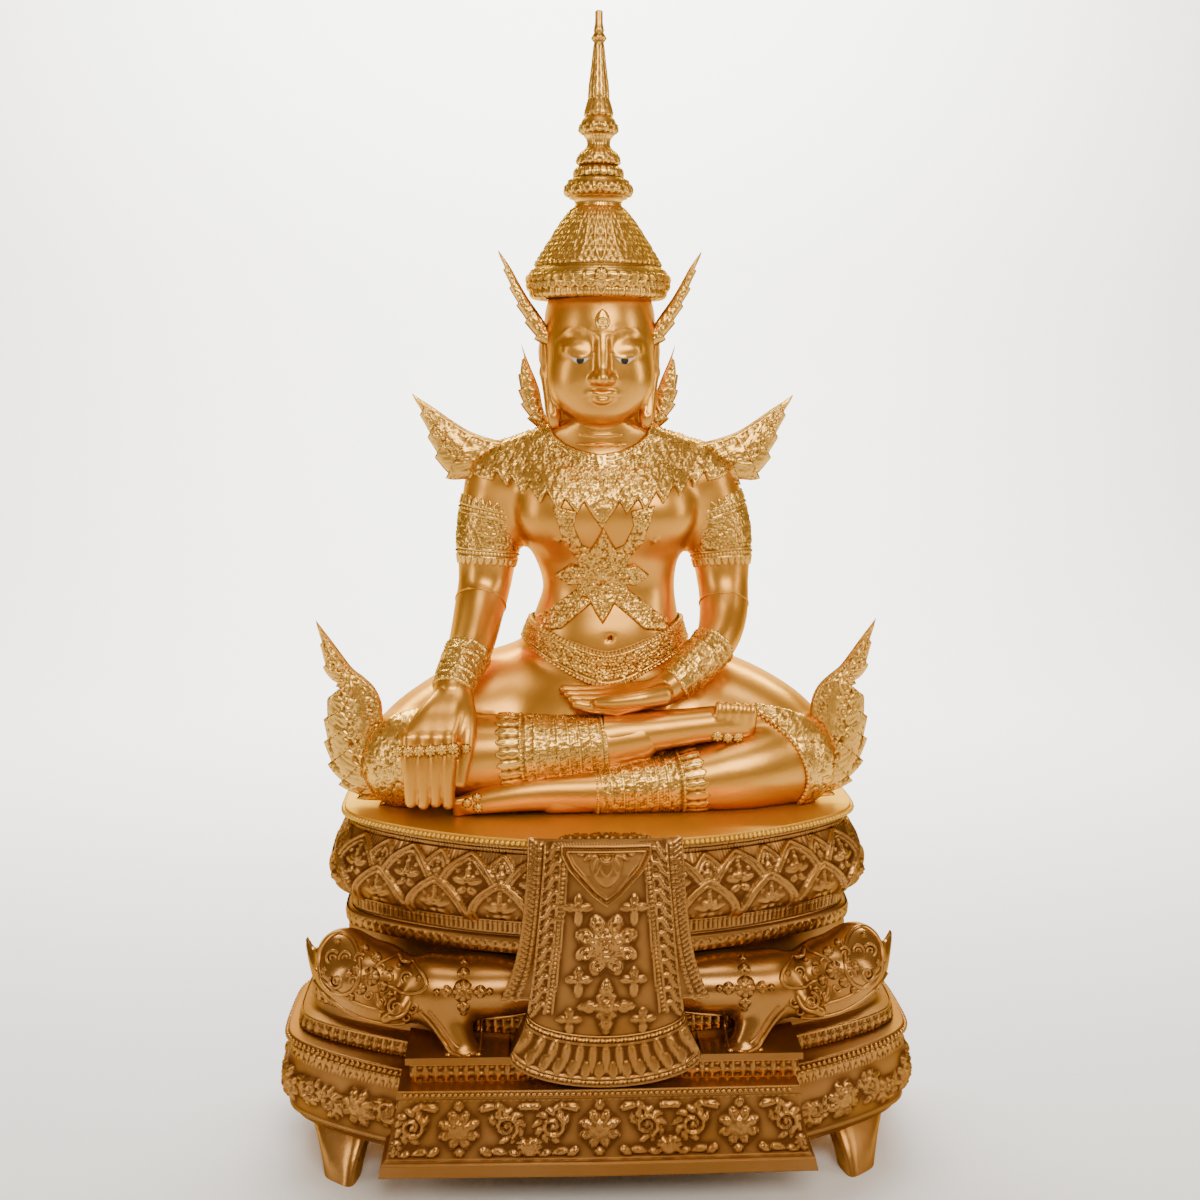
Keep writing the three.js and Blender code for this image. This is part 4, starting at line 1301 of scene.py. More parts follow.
def facing_frame(facing, up):
    """Unit directions out of a surface, across it and up it."""
    facing = unit(np.asarray(facing, float))
    side = unit(np.cross(np.asarray(up, float), facing))
    return facing, side, np.cross(facing, side)


def medal(stock, centre, facing, radius, high, petals=8):
    """A small cast flower set on a surface, with its rim turned in."""
    relief = Relief(2 * radius + 2, 2 * radius + 2, grain=radius / 14)
    relief.flower(radius + 1, radius + 1, radius, high, petals=petals)
    facing, side, lift = facing_frame(facing, (0, 0, 1))
    share = np.linspace(0, 1, 9)[:, None] ** 0.9
    a = 2 * np.pi * np.arange(4 * petals) / (4 * petals)
    x, z = radius * share * np.sin(a), radius * share * np.cos(a)
    out = relief.read(x + radius + 1, z + radius + 1)
    out[-1] = -1.5
    grid = np.asarray(centre, float) + x[..., None] * side + z[..., None] * lift + out[..., None] * facing
    stock.sheet(grid, out / high, wrap=True)


# Crown

CROWN_Y = 20.0


def turned(stock, step, profile, draws, least=36):
    """A carved ring turned about the crown's axis, from a profile of radius and height."""
    step = spaced(step)
    line = smooth_rows(profile, 8)
    length = np.linalg.norm(np.diff(line, axis=0), axis=1).sum()
    rows = max(4, int(length / step) + 1)
    line = resample(line, rows)
    slope = unit(np.gradient(line, axis=0))
    widest = line[:, 0].max()
    around = int(np.clip(2 * math.pi * widest / step, least, 400))
    relief = Relief(2 * math.pi * widest, length, grain=min(0.7, widest / 30 + 0.15), wrap=True)
    for draw, *sizes in draws:
        draw(relief, *sizes)
    turn = 2 * np.pi * np.arange(around) / around
    s = np.linspace(0, length, rows)[:, None]
    high = relief.read(turn[None, :] / (2 * np.pi) * relief.width + 0 * s, s + 0 * turn)
    high = high * (line[:, 0] / widest)[:, None] ** 0.5
    r = line[:, :1] + high * slope[:, 1:]
    z = line[:, 1:] - high * slope[:, :1] + 0 * turn
    grid = np.stack([r * np.sin(turn), CROWN_Y - r * np.cos(turn), z], -1)
    stock.sheet(grid, high / max(1e-3, relief.map.max()), wrap=True)


def flutes(relief, pitch, high, y0=0.0, y1=None):
    """Upright rounded ribs."""
    y1 = relief.height if y1 is None else y1
    count = round(relief.width / pitch)
    for x in relief.spots(count):
        relief.line([(x, y0 + 1), (x, y1 - 1)], relief.width / count * 0.95, high)


def flower_row(relief, y, size, high):
    """Flowers with two beads between each pair."""
    count = max(4, round(relief.width / (size * 2.3)))
    for x in relief.spots(count):
        relief.flower(x, y, size, high, petals=6)
        for end in (0.6, -0.6):
            relief.dome(x + relief.width / count / 2, y + size * end, size * 0.3, high * 0.9)


def leaf_row(relief, y, length, pitch, high, angle=0, wide=1.05):
    """A row of pointed leaves."""
    count = max(4, round(relief.width / pitch))
    for x in relief.spots(count):
        relief.leaf(x, y, length, relief.width / count * wide, angle, high)


def draw_crown_band(relief):
    """A zigzag under two rows of leaves that lean away from the front."""
    relief.beads(1.5, 3.6, 1.6, 1.8)
    half = relief.width / 44 / 2
    for x in relief.spots(44, 0):
        relief.line([(x, 3.5), (x + half, 9.5), (x + 2 * half, 3.5)], 2.0, 1.7)
        relief.dome(x, 8.3, 1.6, 1.6)
    relief.bar(10.2, 11.8, 1.8)
    for x in relief.spots(40):
        way = -1 if x < relief.width / 2 else 1
        relief.leaf(x, 16.5, 12, 7.5, 66 * way, 3.4, bend=0.25 * way)
        relief.leaf(x, 15.0, 9, 5, 99 * way, 2.4)
    relief.bar(22.5, 24, 2.0)
    relief.beads(26.5, 3.4, 1.6, 1.8)


def draw_crown_dome(relief):
    """Rows of small leaves under pointed loops."""
    tall, rows, count = relief.height, 11, 56
    for r in range(rows):
        y = tall * (r + 0.1) / rows
        for x in relief.spots(count, 0.5 * (r % 2)):
            relief.leaf(x, y, tall / rows * 1.25, relief.width / count, 0, 2.6, rib=0.45)
            relief.dome(x, y + 1.6, 1.3, 2.7)
    for x in relief.spots(16, 0):
        for side in (-1, 1):
            path = [(x + side * 8.0 * math.sin(math.pi * t) ** 0.8 * (1 - 0.2 * t), t * tall * 0.96)
                    for t in np.linspace(0.02, 1, 18)]
            relief.line(path, 1.7, 3.2)


# Rings of the crown from the brow up: step, profile of radius and height, and what is stamped on it
CROWN_RINGS = [
    (1.2, [(56, 905.5), (66.4, 906), (70.4, 907.5), (71.2, 910.5), (70.4, 914.5)],
     [(flutes, 3.6, 2.2, 7, 24)]),
    (1.25, [(68.8, 912.5), (74, 914), (75.4, 920), (74.5, 927), (70.7, 933), (66.4, 938)],
     [(draw_crown_band,)]),
    (1.2, [(66.8, 938), (57.8, 953), (48.4, 968), (39, 983), (28.8, 996), (25, 999.5)], [(draw_crown_dome,)]),
    (1.4, [(25, 999), (24, 1003), (25.8, 1007), (30.4, 1010.5)],
     [(Relief.beads, 2.5, 3.4, 1.5, 1.5), (Relief.bar, 7, 8.6, 1.0)]),
    (1.1, [(28.5, 1009.5), (33.1, 1012), (34.4, 1018), (33.4, 1024), (28.4, 1029)],
     [(flower_row, 10.5, 6.0, 3.0), (Relief.beads, 1.5, 3.2, 1.4, 1.8), (Relief.beads, 21, 3.2, 1.4, 1.8)]),
    (1.1, [(22.9, 1028), (24.7, 1031), (24.6, 1037), (20, 1042)],
     [(leaf_row, 2.5, 12, 8.5, 2.6), (Relief.beads, 1.4, 3, 1.3, 1.6)]),
    (1.0, [(17.3, 1041), (20.5, 1044), (20.9, 1051), (14.5, 1060)],
     [(flower_row, 8, 4.6, 2.6), (leaf_row, 11, 9, 6, 2.0)]),
    (1.0, [(13.6, 1058), (11.3, 1064), (12.2, 1070), (15.3, 1074)], [(flutes, 3.6, 1.2)]),
    (1.0, [(12.6, 1073), (18, 1076), (19.3, 1082), (17.2, 1089), (13.1, 1093)],
     [(flower_row, 10.5, 5.6, 2.4), (Relief.beads, 2, 3, 1.3, 1.6)]),
    (0.9, [(13.2, 1091), (13.9, 1096), (12.5, 1103), (10.3, 1112)],
     [(leaf_row, 2, 12, 7, 2.2), (leaf_row, 10, 11, 7, 1.8)]),
    (0.9, [(10.3, 1109), (9.7, 1122), (7.8, 1138), (6.2, 1152), (5, 1169)],
     [(leaf_row, y, 20, 8.5, 1.9) for y in (1, 12, 25, 37)]),
    (0.9, [(5, 1167), (7, 1170.5), (6.8, 1174), (4.6, 1178)], [(Relief.beads, 5, 4.2, 1.9, 1.1)]),
    (0.9, [(4.6, 1177), (5.1, 1180), (4.1, 1185), (3.8, 1191), (3.8, 1198.6)], [(flutes, 4.0, 0.5)]),
    (0.9, [(3.8, 1198.5), (3.1, 1199.6), (0.2, 1200)], [], 24),
]


class STATUE_OT_crown(bpy.types.Operator):
    """The tiered crown and its spire"""
    bl_idname = "statue.crown"
    bl_label = "Crown"

    def execute(self, context):
        stock = Stock()
        for ring in CROWN_RINGS:
            turned(stock, *ring)
        for z, radius, size in ((926, 75.5, 7.0), (1018, 35, 5.6)):
            medal(stock, (0, CROWN_Y - radius - 1, z), (0, -1, 0), size, 4.0)
        pendant = Relief(30, 40)
        pendant.leaf(15, 30, 22, 15, 180, 4.4)
        pendant.leaf(15, 16, 18, 13, 0, 4.0)
        pendant.ring(15, 23, 4, 1.4, 5.4)
        plaque(stock, pendant, (0, CROWN_Y - 74.5, 916), scale=0.85)
        stock.piece("crown", "jewel_gold", "gilded_figure")
        stock = Stock()
        jewel = Relief(30, 40)
        jewel.leaf(15, 4, 32, 24, 0, 4.2, rib=0.15)
        jewel.ring(15, 15, 6.4, 1.5, 5.4)
        jewel.dome(15, 15, 4.2, 6.2)
        top = head_level(0.66)
        y = FIELDS["head"].front(HEAD_X, top, -95, 30)[0]
        plaque(stock, jewel, (HEAD_X, y - 1.4, top), scale=0.62, lean=-0.25)
        stock.piece("forehead_jewel", "jewel_gold", "gilded_figure")
        return {"FINISHED"}


def plaque(stock, relief, centre, scale, lean=0.0):
    """A small carved plate facing forward, cut to where its relief stands up."""
    x, z = np.meshgrid(np.arange(0, relief.width), np.arange(0, relief.height))
    high = relief.read(x, z)
    across, up = scale * (x - relief.width / 2), scale * (z - relief.height / 2)
    grid = np.stack([centre[0] + across, centre[1] - scale * high - lean * up + 1.2, centre[2] + up], -1)
    near = high > 0.01
    grown = near.copy()
    for axis in (0, 1):
        for way in (1, -1):
            grown |= np.roll(near, way, axis)
    stock.sheet(grid, high / 3, keep=grown)


# Flames, each between an outer and an inner edge that run from its root to its tip

def flame(stock, mirror, outer, inner, y_root, y_tip, thick, points, tooth, size, seed, step=1.3):
    """A flame of carved leaves with a toothed outer edge, mirrored about a line of x if one is given."""
    step = spaced(step)
    outer, inner = (resample(smooth_rows(edge, 8), 300) for edge in (outer, inner))
    length = np.linalg.norm(np.diff((outer + inner) / 2, axis=0), axis=1).sum()
    rows = int(length / step)
    outer, inner = resample(outer, rows), resample(inner, rows)
    t = np.linspace(0, 1, rows)
    away = unit(outer - inner + 1e-6)
    ahead = unit(np.gradient(outer, axis=0))
    saw = np.mod(t * points, 1.0)
    cut = tooth * (1 - 0.45 * t) * (saw ** 1.4 - 0.45) * ease((1 - t) * 9)
    outer = outer + cut[:, None] * (0.8 * away + 0.6 * ahead)
    width = np.linalg.norm(outer - inner, axis=1)
    columns = max(12, int(width.max() / step))
    w = np.linspace(0, 1, columns)
    relief = Relief(length, width.max(), grain=0.6)
    flame_work(relief, length, width, points, size, seed)
    middle = np.maximum(width / width.max(), 0.05)
    s = (t * length)[:, None] + 0 * w
    across = (w - 0.5)[None, :] * width[:, None] + width.max() / 2
    high = relief.read(s, across)
    body = thick * np.sqrt(np.clip(4 * w * (1 - w), 0, 1))[None, :] * (middle ** 0.5)[:, None]
    rim = np.clip(np.minimum(w, 1 - w)[None, :] * width[:, None] / 2.5, 0, 1)
    flat = outer[:, None] * (1 - w)[None, :, None] + inner[:, None] * w[None, :, None]
    y = (y_root + (y_tip - y_root) * t)[:, None]
    front = np.stack([flat[..., 0], y - body - high * rim, flat[..., 1]], -1)
    back = np.stack([flat[..., 0], y + body + 0.5 * high * rim, flat[..., 1]], -1)
    ring = np.concatenate([front, back[:, -2:0:-1]], 1)
    depth = np.concatenate([high * rim, (high * rim)[:, -2:0:-1]], 1) / 3.6
    if mirror is not None:
        ring = ring.copy()
        ring[..., 0] = 2 * mirror - ring[..., 0]
    stock.sheet(ring, depth, wrap=True, flip=mirror is None)


def flame_work(relief, length, width, points, size, seed):
    """Scrolls up the middle, flame leaves to the outer edge and grains along the inner one."""
    rng = np.random.default_rng(seed)
    middle = relief.height / 2
    t = 0.02
    side = 1
    while t < 0.97:
        wide = float(np.interp(t, np.linspace(0, 1, len(width)), width))
        r = max(1.6, min(size * 1.5, wide * 0.2))
        s = t * length
        relief.curl(s, middle + side * r * 0.3, r, 90 + 180 * (side < 0), 1.4 * side, r * 0.55, 4.2)
        relief.leaf(s, middle - wide * 0.12, wide * 0.4, r * 1.5, 142 + rng.uniform(-12, 12), 4.2, bend=-0.3)
        relief.leaf(s, middle - wide * 0.3, wide * 0.22, r, 120, 3.6, bend=-0.2)
        relief.leaf(s, middle + wide * 0.08, wide * 0.34, r * 1.3, 48 + rng.uniform(-12, 12), 3.8, bend=0.3)
        t += r * 1.25 / length
        side = -side
    for k in range(int(length / 3.4)):
        s = (k + 0.5) * 3.4
        wide = float(np.interp(s / length, np.linspace(0, 1, len(width)), width))
        relief.dome(s, middle + wide * 0.5 - 2.6, 1.6, 3.4)
        relief.dome(s, middle - wide * 0.5 + 2.4, 1.5, 3.0)
    relief.grains(0, length, middle - width.max() / 2, middle + width.max() / 2, size, 2.4, seed)


KNEE_FLAME_OUTER = [(-205, 375), (-236, 377), (-262, 387), (-280, 408), (-287, 434), (-288, 460), (-286, 480),
                    (-282, 491), (-269, 497), (-281, 507), (-288, 522), (-291, 546), (-296, 571)]
KNEE_FLAME_INNER = [(-205, 398), (-214, 418), (-221, 438), (-227, 462), (-229, 484), (-236, 500), (-247, 511),
                    (-258, 520), (-268, 533), (-280, 550), (-295, 570)]
WING_LOWER = [(-92, 700), (-112, 708), (-138, 711), (-160, 716), (-172, 736), (-182, 762), (-190, 785),
              (-199, 805)]
WING_UPPER = [(-84, 752), (-106, 755), (-135, 764), (-154, 775), (-170, 786), (-182, 794), (-190, 799),
              (-198.5, 805)]
EAR_OUTER = [(-52, 852), (-66, 862), (-76, 878), (-85, 896), (-92, 912), (-98, 930), (-106, 954)]
EAR_INNER = [(-50, 866), (-57, 880), (-66, 893), (-74.5, 905), (-83.5, 920), (-93, 937), (-104.6, 953.6)]
NAPE_OUTER = [(-50, 758), (-66, 768), (-78, 786), (-84, 806), (-84, 828), (-80, 844), (-82, 858)]
NAPE_INNER = [(-46, 768), (-54, 778), (-59, 792), (-62, 808), (-67, 822), (-74, 838), (-81.6, 857.5)]


class STATUE_OT_flames(bpy.types.Operator):
    """The knee flames, shoulder wings, ear and nape flames"""
    bl_idname = "statue.flames"
    bl_label = "Flames and wings"

    def execute(self, context):
        for name, mirror in (("right_knee_flame", None), ("left_knee_flame", -2.0)):
            stock = Stock()
            flame(stock, mirror, KNEE_FLAME_OUTER, KNEE_FLAME_INNER, -53, -50, 7, 11, 9, 4.4, 61)
            stock.piece(name + "_relief", "jewel_gold", "gilded_flame", [name])
        stock = Stock()
        for mirror in (None, 6.5):
            flame(stock, mirror, WING_LOWER, WING_UPPER, 14, 24, 7, 7, 11, 3.8, 62)
        for mirror in (None, 1.5):
            flame(stock, mirror, EAR_OUTER, EAR_INNER, 2, 8, 4, 6, 6, 2.8, 63, 1.2)
            flame(stock, mirror, NAPE_OUTER, NAPE_INNER, 38, 42, 4, 7, 6, 2.8, 64, 1.2)
        stock.piece("wings_and_flames", "jewel_gold", "gilded_figure")
        return {"FINISHED"}


# Plinth

def plan_reach(turn, half_wide, half_deep):
    """Distance from the middle to a tier's outline: straight sides, bowed front and back."""
    c, s = np.abs(np.cos(turn)), np.abs(np.sin(turn))
    drop = half_deep * (1 - CORNER_SHARE)
    bow = (half_wide ** 2 + drop ** 2) / (2 * drop)
    centre = half_deep - bow
    front = s * centre + np.sqrt(np.maximum((s * centre) ** 2 + bow ** 2 - centre ** 2, 1))
    side = half_wide / np.maximum(c, 1e-6)
    return (front ** -28 + side ** -28) ** (-1 / 28)


def plan_points(share, half_wide, half_deep):
    """Points on an outline, at even shares of its length from the middle of the front."""
    fine = np.linspace(0, 2 * math.pi, 1441) - math.pi / 2
    reach = plan_reach(fine, 280, 190)
    at = np.stack([reach * np.cos(fine), reach * np.sin(fine)], 1)
    length = np.r_[0, np.cumsum(np.linalg.norm(np.diff(at, axis=0), axis=1))]
    turn = np.interp(np.mod(share, 1.0) * length[-1], length, fine)
    reach = plan_reach(turn, half_wide, half_deep)
    return reach * np.cos(turn), reach * np.sin(turn)


def girth(half_wide, half_deep):
    x, y = plan_points(np.linspace(0, 1, 400), half_wide, half_deep)
    return float(np.hypot(np.diff(x), np.diff(y)).sum())


def wall(stock, profile, draw, step, tall_step=None, coarse=4.5, front_share=0.27):
    """A carved tier, from a profile of height, half width and half depth."""
    step, coarse, tall_step = spaced(step), spaced(coarse), spaced(tall_step or step)
    line = np.asarray(profile, float)
    arc = np.r_[0, np.cumsum(np.linalg.norm(np.diff(line[:, [0, 2]], axis=0), axis=1))]
    length = arc[-1]
    at = np.unique(np.r_[np.linspace(0, length, max(3, int(length / tall_step) + 1)), arc])
    line = np.stack([np.interp(at, arc, line[:, k]) for k in range(3)], 1)
    around = girth(line[:, 1].mean(), line[:, 2].mean())
    fine = np.arange(-front_share, front_share, step / around)
    back = np.linspace(front_share, 1 - front_share, int((1 - 2 * front_share) * around / coarse))
    share = np.r_[fine, back[:-1]]
    relief = Relief(around, length, grain=0.8, wrap=True)
    if draw:
        draw(relief)
    high = relief.read(share[None, :] * around + 0 * at[:, None], at[:, None] + 0 * share[None, :])
    high = high * bpy.context.scene.statue_plinth.relief
    x, y = plan_points(share[None, :] + 0 * at[:, None], line[:, 1:2], line[:, 2:3])
    grid = np.stack([x, y, line[:, :1] + 0 * x], -1)
    normal = unit(np.cross(np.roll(grid, -1, 1) - np.roll(grid, 1, 1), np.gradient(grid, axis=0)))
    stock.sheet(grid + high[..., None] * normal, high / 4.0, wrap=True)


def rim_beads(stock, z, half_wide, half_deep, pitch, radius, gap):
    """Beads round the front and sides of a rim, but for a gap in front: its middle and half width."""
    count = int(girth(half_wide, half_deep) / pitch)
    share = np.arange(count) / count
    x, y = plan_points(share, half_wide, half_deep)
    keep = (np.minimum(share, 1 - share) < 0.3) & ~((y < 0) & (np.abs(x - gap[0]) < gap[1]))
    stock.balls(np.stack([x, y, np.full(count, z)], 1)[keep], radius, around=7)


def petal(relief, x, y, half, tall, base):
    """A pointed lotus petal with two raised rims round a flower, over what is drawn below it."""
    reach = half + 2
    columns = np.arange(int((x - reach) / relief.grain), int((x + reach) / relief.grain) + 2)
    rows = np.arange(max(int(y / relief.grain), 0),
                     min(int((y + tall) / relief.grain) + 1, relief.map.shape[0]))
    index = np.mod(np.round(np.mod(columns * relief.grain, relief.width) / relief.grain).astype(int),
                   relief.map.shape[1])
    u = (columns * relief.grain - x)[None, :] + np.zeros((len(rows), 1))
    v = ((rows * relief.grain - y) / tall)[:, None] + 0 * u
    edge = half * (1 - np.clip(v, 0, 1) ** 2.3) - np.abs(u)
    edge = edge / np.sqrt(1 + (2.3 * half / tall * np.clip(v, 0, 1) ** 1.3) ** 2)
    outer = 4.0 * np.sqrt(np.clip(1 - ((edge - 2.4) / 2.4) ** 2, 0, 1))
    second = 2.8 * np.sqrt(np.clip(1 - ((edge - 7.2) / 1.7) ** 2, 0, 1))
    value = base + np.maximum(outer, second)
    relief.map[np.ix_(rows, index)] = np.where(edge > 0, value, relief.map[np.ix_(rows, index)])
    middle = y + tall * 0.4
    relief.flower(x, middle, half * 0.24, base + 3.6, petals=5)
    for dy, size in ((0.2, 2.4), (0.3, 1.9), (0.38, 1.4)):
        relief.dome(x, middle + dy * tall, size, base + 3.2)
    for side in (-1, 1):
        relief.leaf(x + side * 1.5, middle - half * 0.14, half * 0.42, half * 0.22, side * 74, base + 3.0)
        relief.leaf(x + side * 1.2, middle - half * 0.3, half * 0.36, half * 0.2, side * 118, base + 2.8)
        relief.dome(x + side * half * 0.3, middle + half * 0.2, 1.9, base + 2.8)
        relief.dome(x + side * half * 0.42, middle - half * 0.36, 1.7, base + 2.6)


def draw_lotus(relief):
    """Three rows of petals, each over the one behind it, under a fluted edge."""
    count = bpy.context.scene.statue_plinth.petals
    pitch, tall = relief.width / count, relief.height
    flutes(relief, 3.6, 1.8, tall - 24, tall - 2)
    for shift, low, half, share, base in ((0.5, 0.42, 0.3, 0.46, 0.2), (0, 0.3, 0.5, 0.58, 0.5),
                                          (0.5, 0, 0.52, 0.56, 1.6)):
        for k in range(count):
            petal(relief, (k + shift) * pitch, tall * low, pitch * half, tall * share, base)


def draw_balusters(relief):
    """Upright rods with a bead at each end, between two mouldings."""
    tall = relief.height
    relief.bar(0, 2.2, 1.6)
    relief.bar(tall - 2.4, tall, 1.6)
    for x in relief.spots(int(relief.width / 5.4)):
        relief.line([(x, 3.5), (x, tall - 6)], 3.4, 2.2)
        relief.dome(x, tall - 4.6, 2.0, 2.8)
        relief.dome(x, 4.2, 1.8, 2.4)


def draw_leaf_band(relief):
    """Hanging leaves with a ring between each pair."""
    tall, count = relief.height, int(relief.width / 10.4)
    relief.bar(tall - 3, tall, 1.6)
    for x in relief.spots(count):
        gap = x + relief.width / count / 2
        relief.leaf(x, tall - 3, tall - 3.5, 8.4, 180, 3.2)
        relief.ring(gap, tall * 0.62, 2.2, 1.0, 2.2)
        relief.dome(gap, tall * 0.3, 1.5, 2.2)


def draw_arcade(relief):
    """Small arched panels, each with a bud, under a grained edge."""
    tall, count = relief.height, int(relief.width / 10.0)
    pitch = relief.width / count
    relief.bar(tall - 2.2, tall, 1.8)
    relief.bar(0, 1.6, 1.4)
    for k in range(count):
        x = (k + 0.5) * pitch
        relief.leaf(x, 1.6, tall - 3.5, 4.8, 0, 3.2)
        for way in (-1, 1):
            relief.curl(x + way * pitch * 0.3, tall * 0.42, 2.6, 90 + 90 * way, -1.1 * way, 1.6, 2.4)
        relief.dome(x + pitch / 2, tall * 0.78, 1.5, 2.4)
        relief.dome(x + pitch / 2, tall * 0.16, 1.4, 2.0)


def rosette(relief, x, y, radius, high, petals=8):
    """A scalloped, ringed boss with rimmed, pointed petals round it."""
    for k in range(petals):
        a = 360 * (k + 0.5) / petals
        (leaf_x, leaf_y), (ring_x, ring_y) = polar(a, 0.36 * radius), polar(a, 0.68 * radius)
        relief.leaf(x + leaf_x, y + leaf_y, radius * 0.64, radius * 4.3 / petals, a, high * 0.6, rib=0.3)
        relief.ring(x + ring_x, y + ring_y, radius * 0.13, radius * 0.055, high * 0.85)
    relief.dome(x, y, radius * 0.52, high * 0.75)
    for k in range(14):
        dx, dy = polar(360 * k / 14, 0.44 * radius)
        relief.dome(x + dx, y + dy, radius * 0.1, high * 0.9)
    relief.ring(x, y, radius * 0.32, radius * 0.065, high * 1.1)
    relief.ring(x, y, radius * 0.19, radius * 0.055, high * 1.2)
    relief.dome(x, y, radius * 0.1, high * 1.35)


def scroll(relief, x, y, radius, start, way, high):
    """A rolled stem with leaves along its outside."""
    relief.curl(x, y, radius, start, way * 1.6, radius * 0.42, high)
    for k in range(8):
        a = start + way * (36 * k - 20)
        dx, dy = polar(a, 0.92 * radius)
        relief.leaf(x + dx, y + dy, radius * 0.85, radius * 0.5, a + way * 38, high * 0.8, bend=way * 0.3)


def scroll_panel(relief, x, y, reach, tall, high):
    """A flower between two leafy scrolls, with small leaves above and below."""
    for side in (-1, 1):
        turn = 300 if side > 0 else 60
        scroll(relief, x + side * reach * 0.66, y + 0.06 * tall, tall * 0.2, turn, side, high * 0.85)
        scroll(relief, x + side * reach * 0.97, y - 0.3 * tall, tall * 0.12, turn, -side, high * 0.75)
        for dx, dy, size, angle in ((0.3, 0.34, 0.26, 62), (0.3, -0.34, 0.26, 118), (0.46, -0.38, 0.24, 84),
                                    (0.5, 0.42, 0.2, 100), (0.84, 0.38, 0.24, 76), (0.7, -0.4, 0.2, 96)):
            relief.leaf(x + side * dx * reach, y + dy * tall, size * tall, size * tall * 0.5, side * angle,
                        high * 0.7, bend=side * 0.3)
    rosette(relief, x, y, tall * 0.35, high)
    for end in (1, -1):
        relief.leaf(x, y + end * tall * 0.33, tall * 0.17, tall * 0.14, 90 - 90 * end, high * 0.7)


def draw_base_panel(relief):
    """Ringed flowers between leafy scrolls, under a short row of hanging leaves."""
    tall = relief.height
    relief.bar(9, 12, 3.4)
    share = np.linspace(0, 0.25, 400)
    x, _ = plan_points(share, 338, 212)
    corner = float(np.interp(254, x[:240], share[:240])) * relief.width
    middle = 12 + (tall - 25) * 0.5
    for side in (-1, 1):
        for k in range(6):
            at = side * (corner + 100 * k)
            if k < 4 or side > 0:
                rosette(relief, at, middle, 21, 7)
            for way in (-1, 1):
                scroll(relief, at + way * 36, middle + way * 4, 11.5, 300, way * side, 5.5)
    for x in relief.spots(round(relief.width / 8)):
        relief.leaf(x, tall - 1, 9, 7.5, 180, 3.2)
    relief.beads(tall - 11.5, 4.6, 1.6, 2.4)


# Walls of each piece: profile of height, half width and half depth, drawing, step along and step up
COURSES = {
    "base_tier": [
        ([(42, 328, 205), (56, 335, 210), (70, 338.5, 212.5), (92, 339, 213), (110, 335, 210),
          (122.5, 331, 207)], draw_base_panel, 1.7),
        ([(122.5, 331, 207), (123.5, 334.5, 211.5), (124, 335, 212), (131, 335, 212), (132, 334, 211),
          (132.5, 324, 200), (133, 313, 180)], None, 5, 4)],
    "stepped_tiers": [
        ([(132.8, 321, 182), (134, 323, 184), (149, 321, 182.5), (150, 320, 181)], draw_arcade, 1.7, 1.3),
        ([(150, 320, 181), (154, 309, 167.5), (156, 308, 166.5), (163, 307, 165.5)], None, 6),
        ([(163, 306, 165), (164, 308, 167), (181, 308, 167.5), (183, 307, 166)], draw_arcade, 1.7, 1.3),
        ([(183, 307, 166), (186, 300, 160), (190, 273, 143), (247, 270, 142)], None, 8)],
    "lotus_tier": [
        ([(247, 269, 141), (248, 270, 169), (263, 270, 169), (264, 266, 164)], None, 8),
        ([(248.4, 270.5, 169.5), (263, 270.5, 169.5)], draw_leaf_band, 1.6, 1.2),
        ([(264, 265, 163), (266, 264, 162), (281, 265, 162.5), (285, 272, 175), (288, 280, 187)], None, 8),
        ([(265.5, 264.5, 162.8), (281, 265.5, 163)], draw_balusters, 1.6, 1.2),
        (smooth_rows([(288, 277, 184), (296, 282, 190), (306, 284, 192), (322, 281, 191), (338, 275, 190),
                      (350, 267, 185), (358, 263, 182.5), (365, 264, 185.5)], 3), draw_lotus, 1.4, 1.35)],
}
SEAT_EDGE = [(364.6, 266, 187.5), (366.5, 269, 191.5), (368, 270, 193), (372.5, 270.5, 193.5),
             (373.7, 270, 193)]
# One foot: corners of its plan on the ground and under the base
FOOT_LOW = [(-291, -132), (-257, -161), (-248, -122), (-280, -96)]
FOOT_TOP = [(-312, -88), (-245, -133), (-230, -90), (-298, -55)]


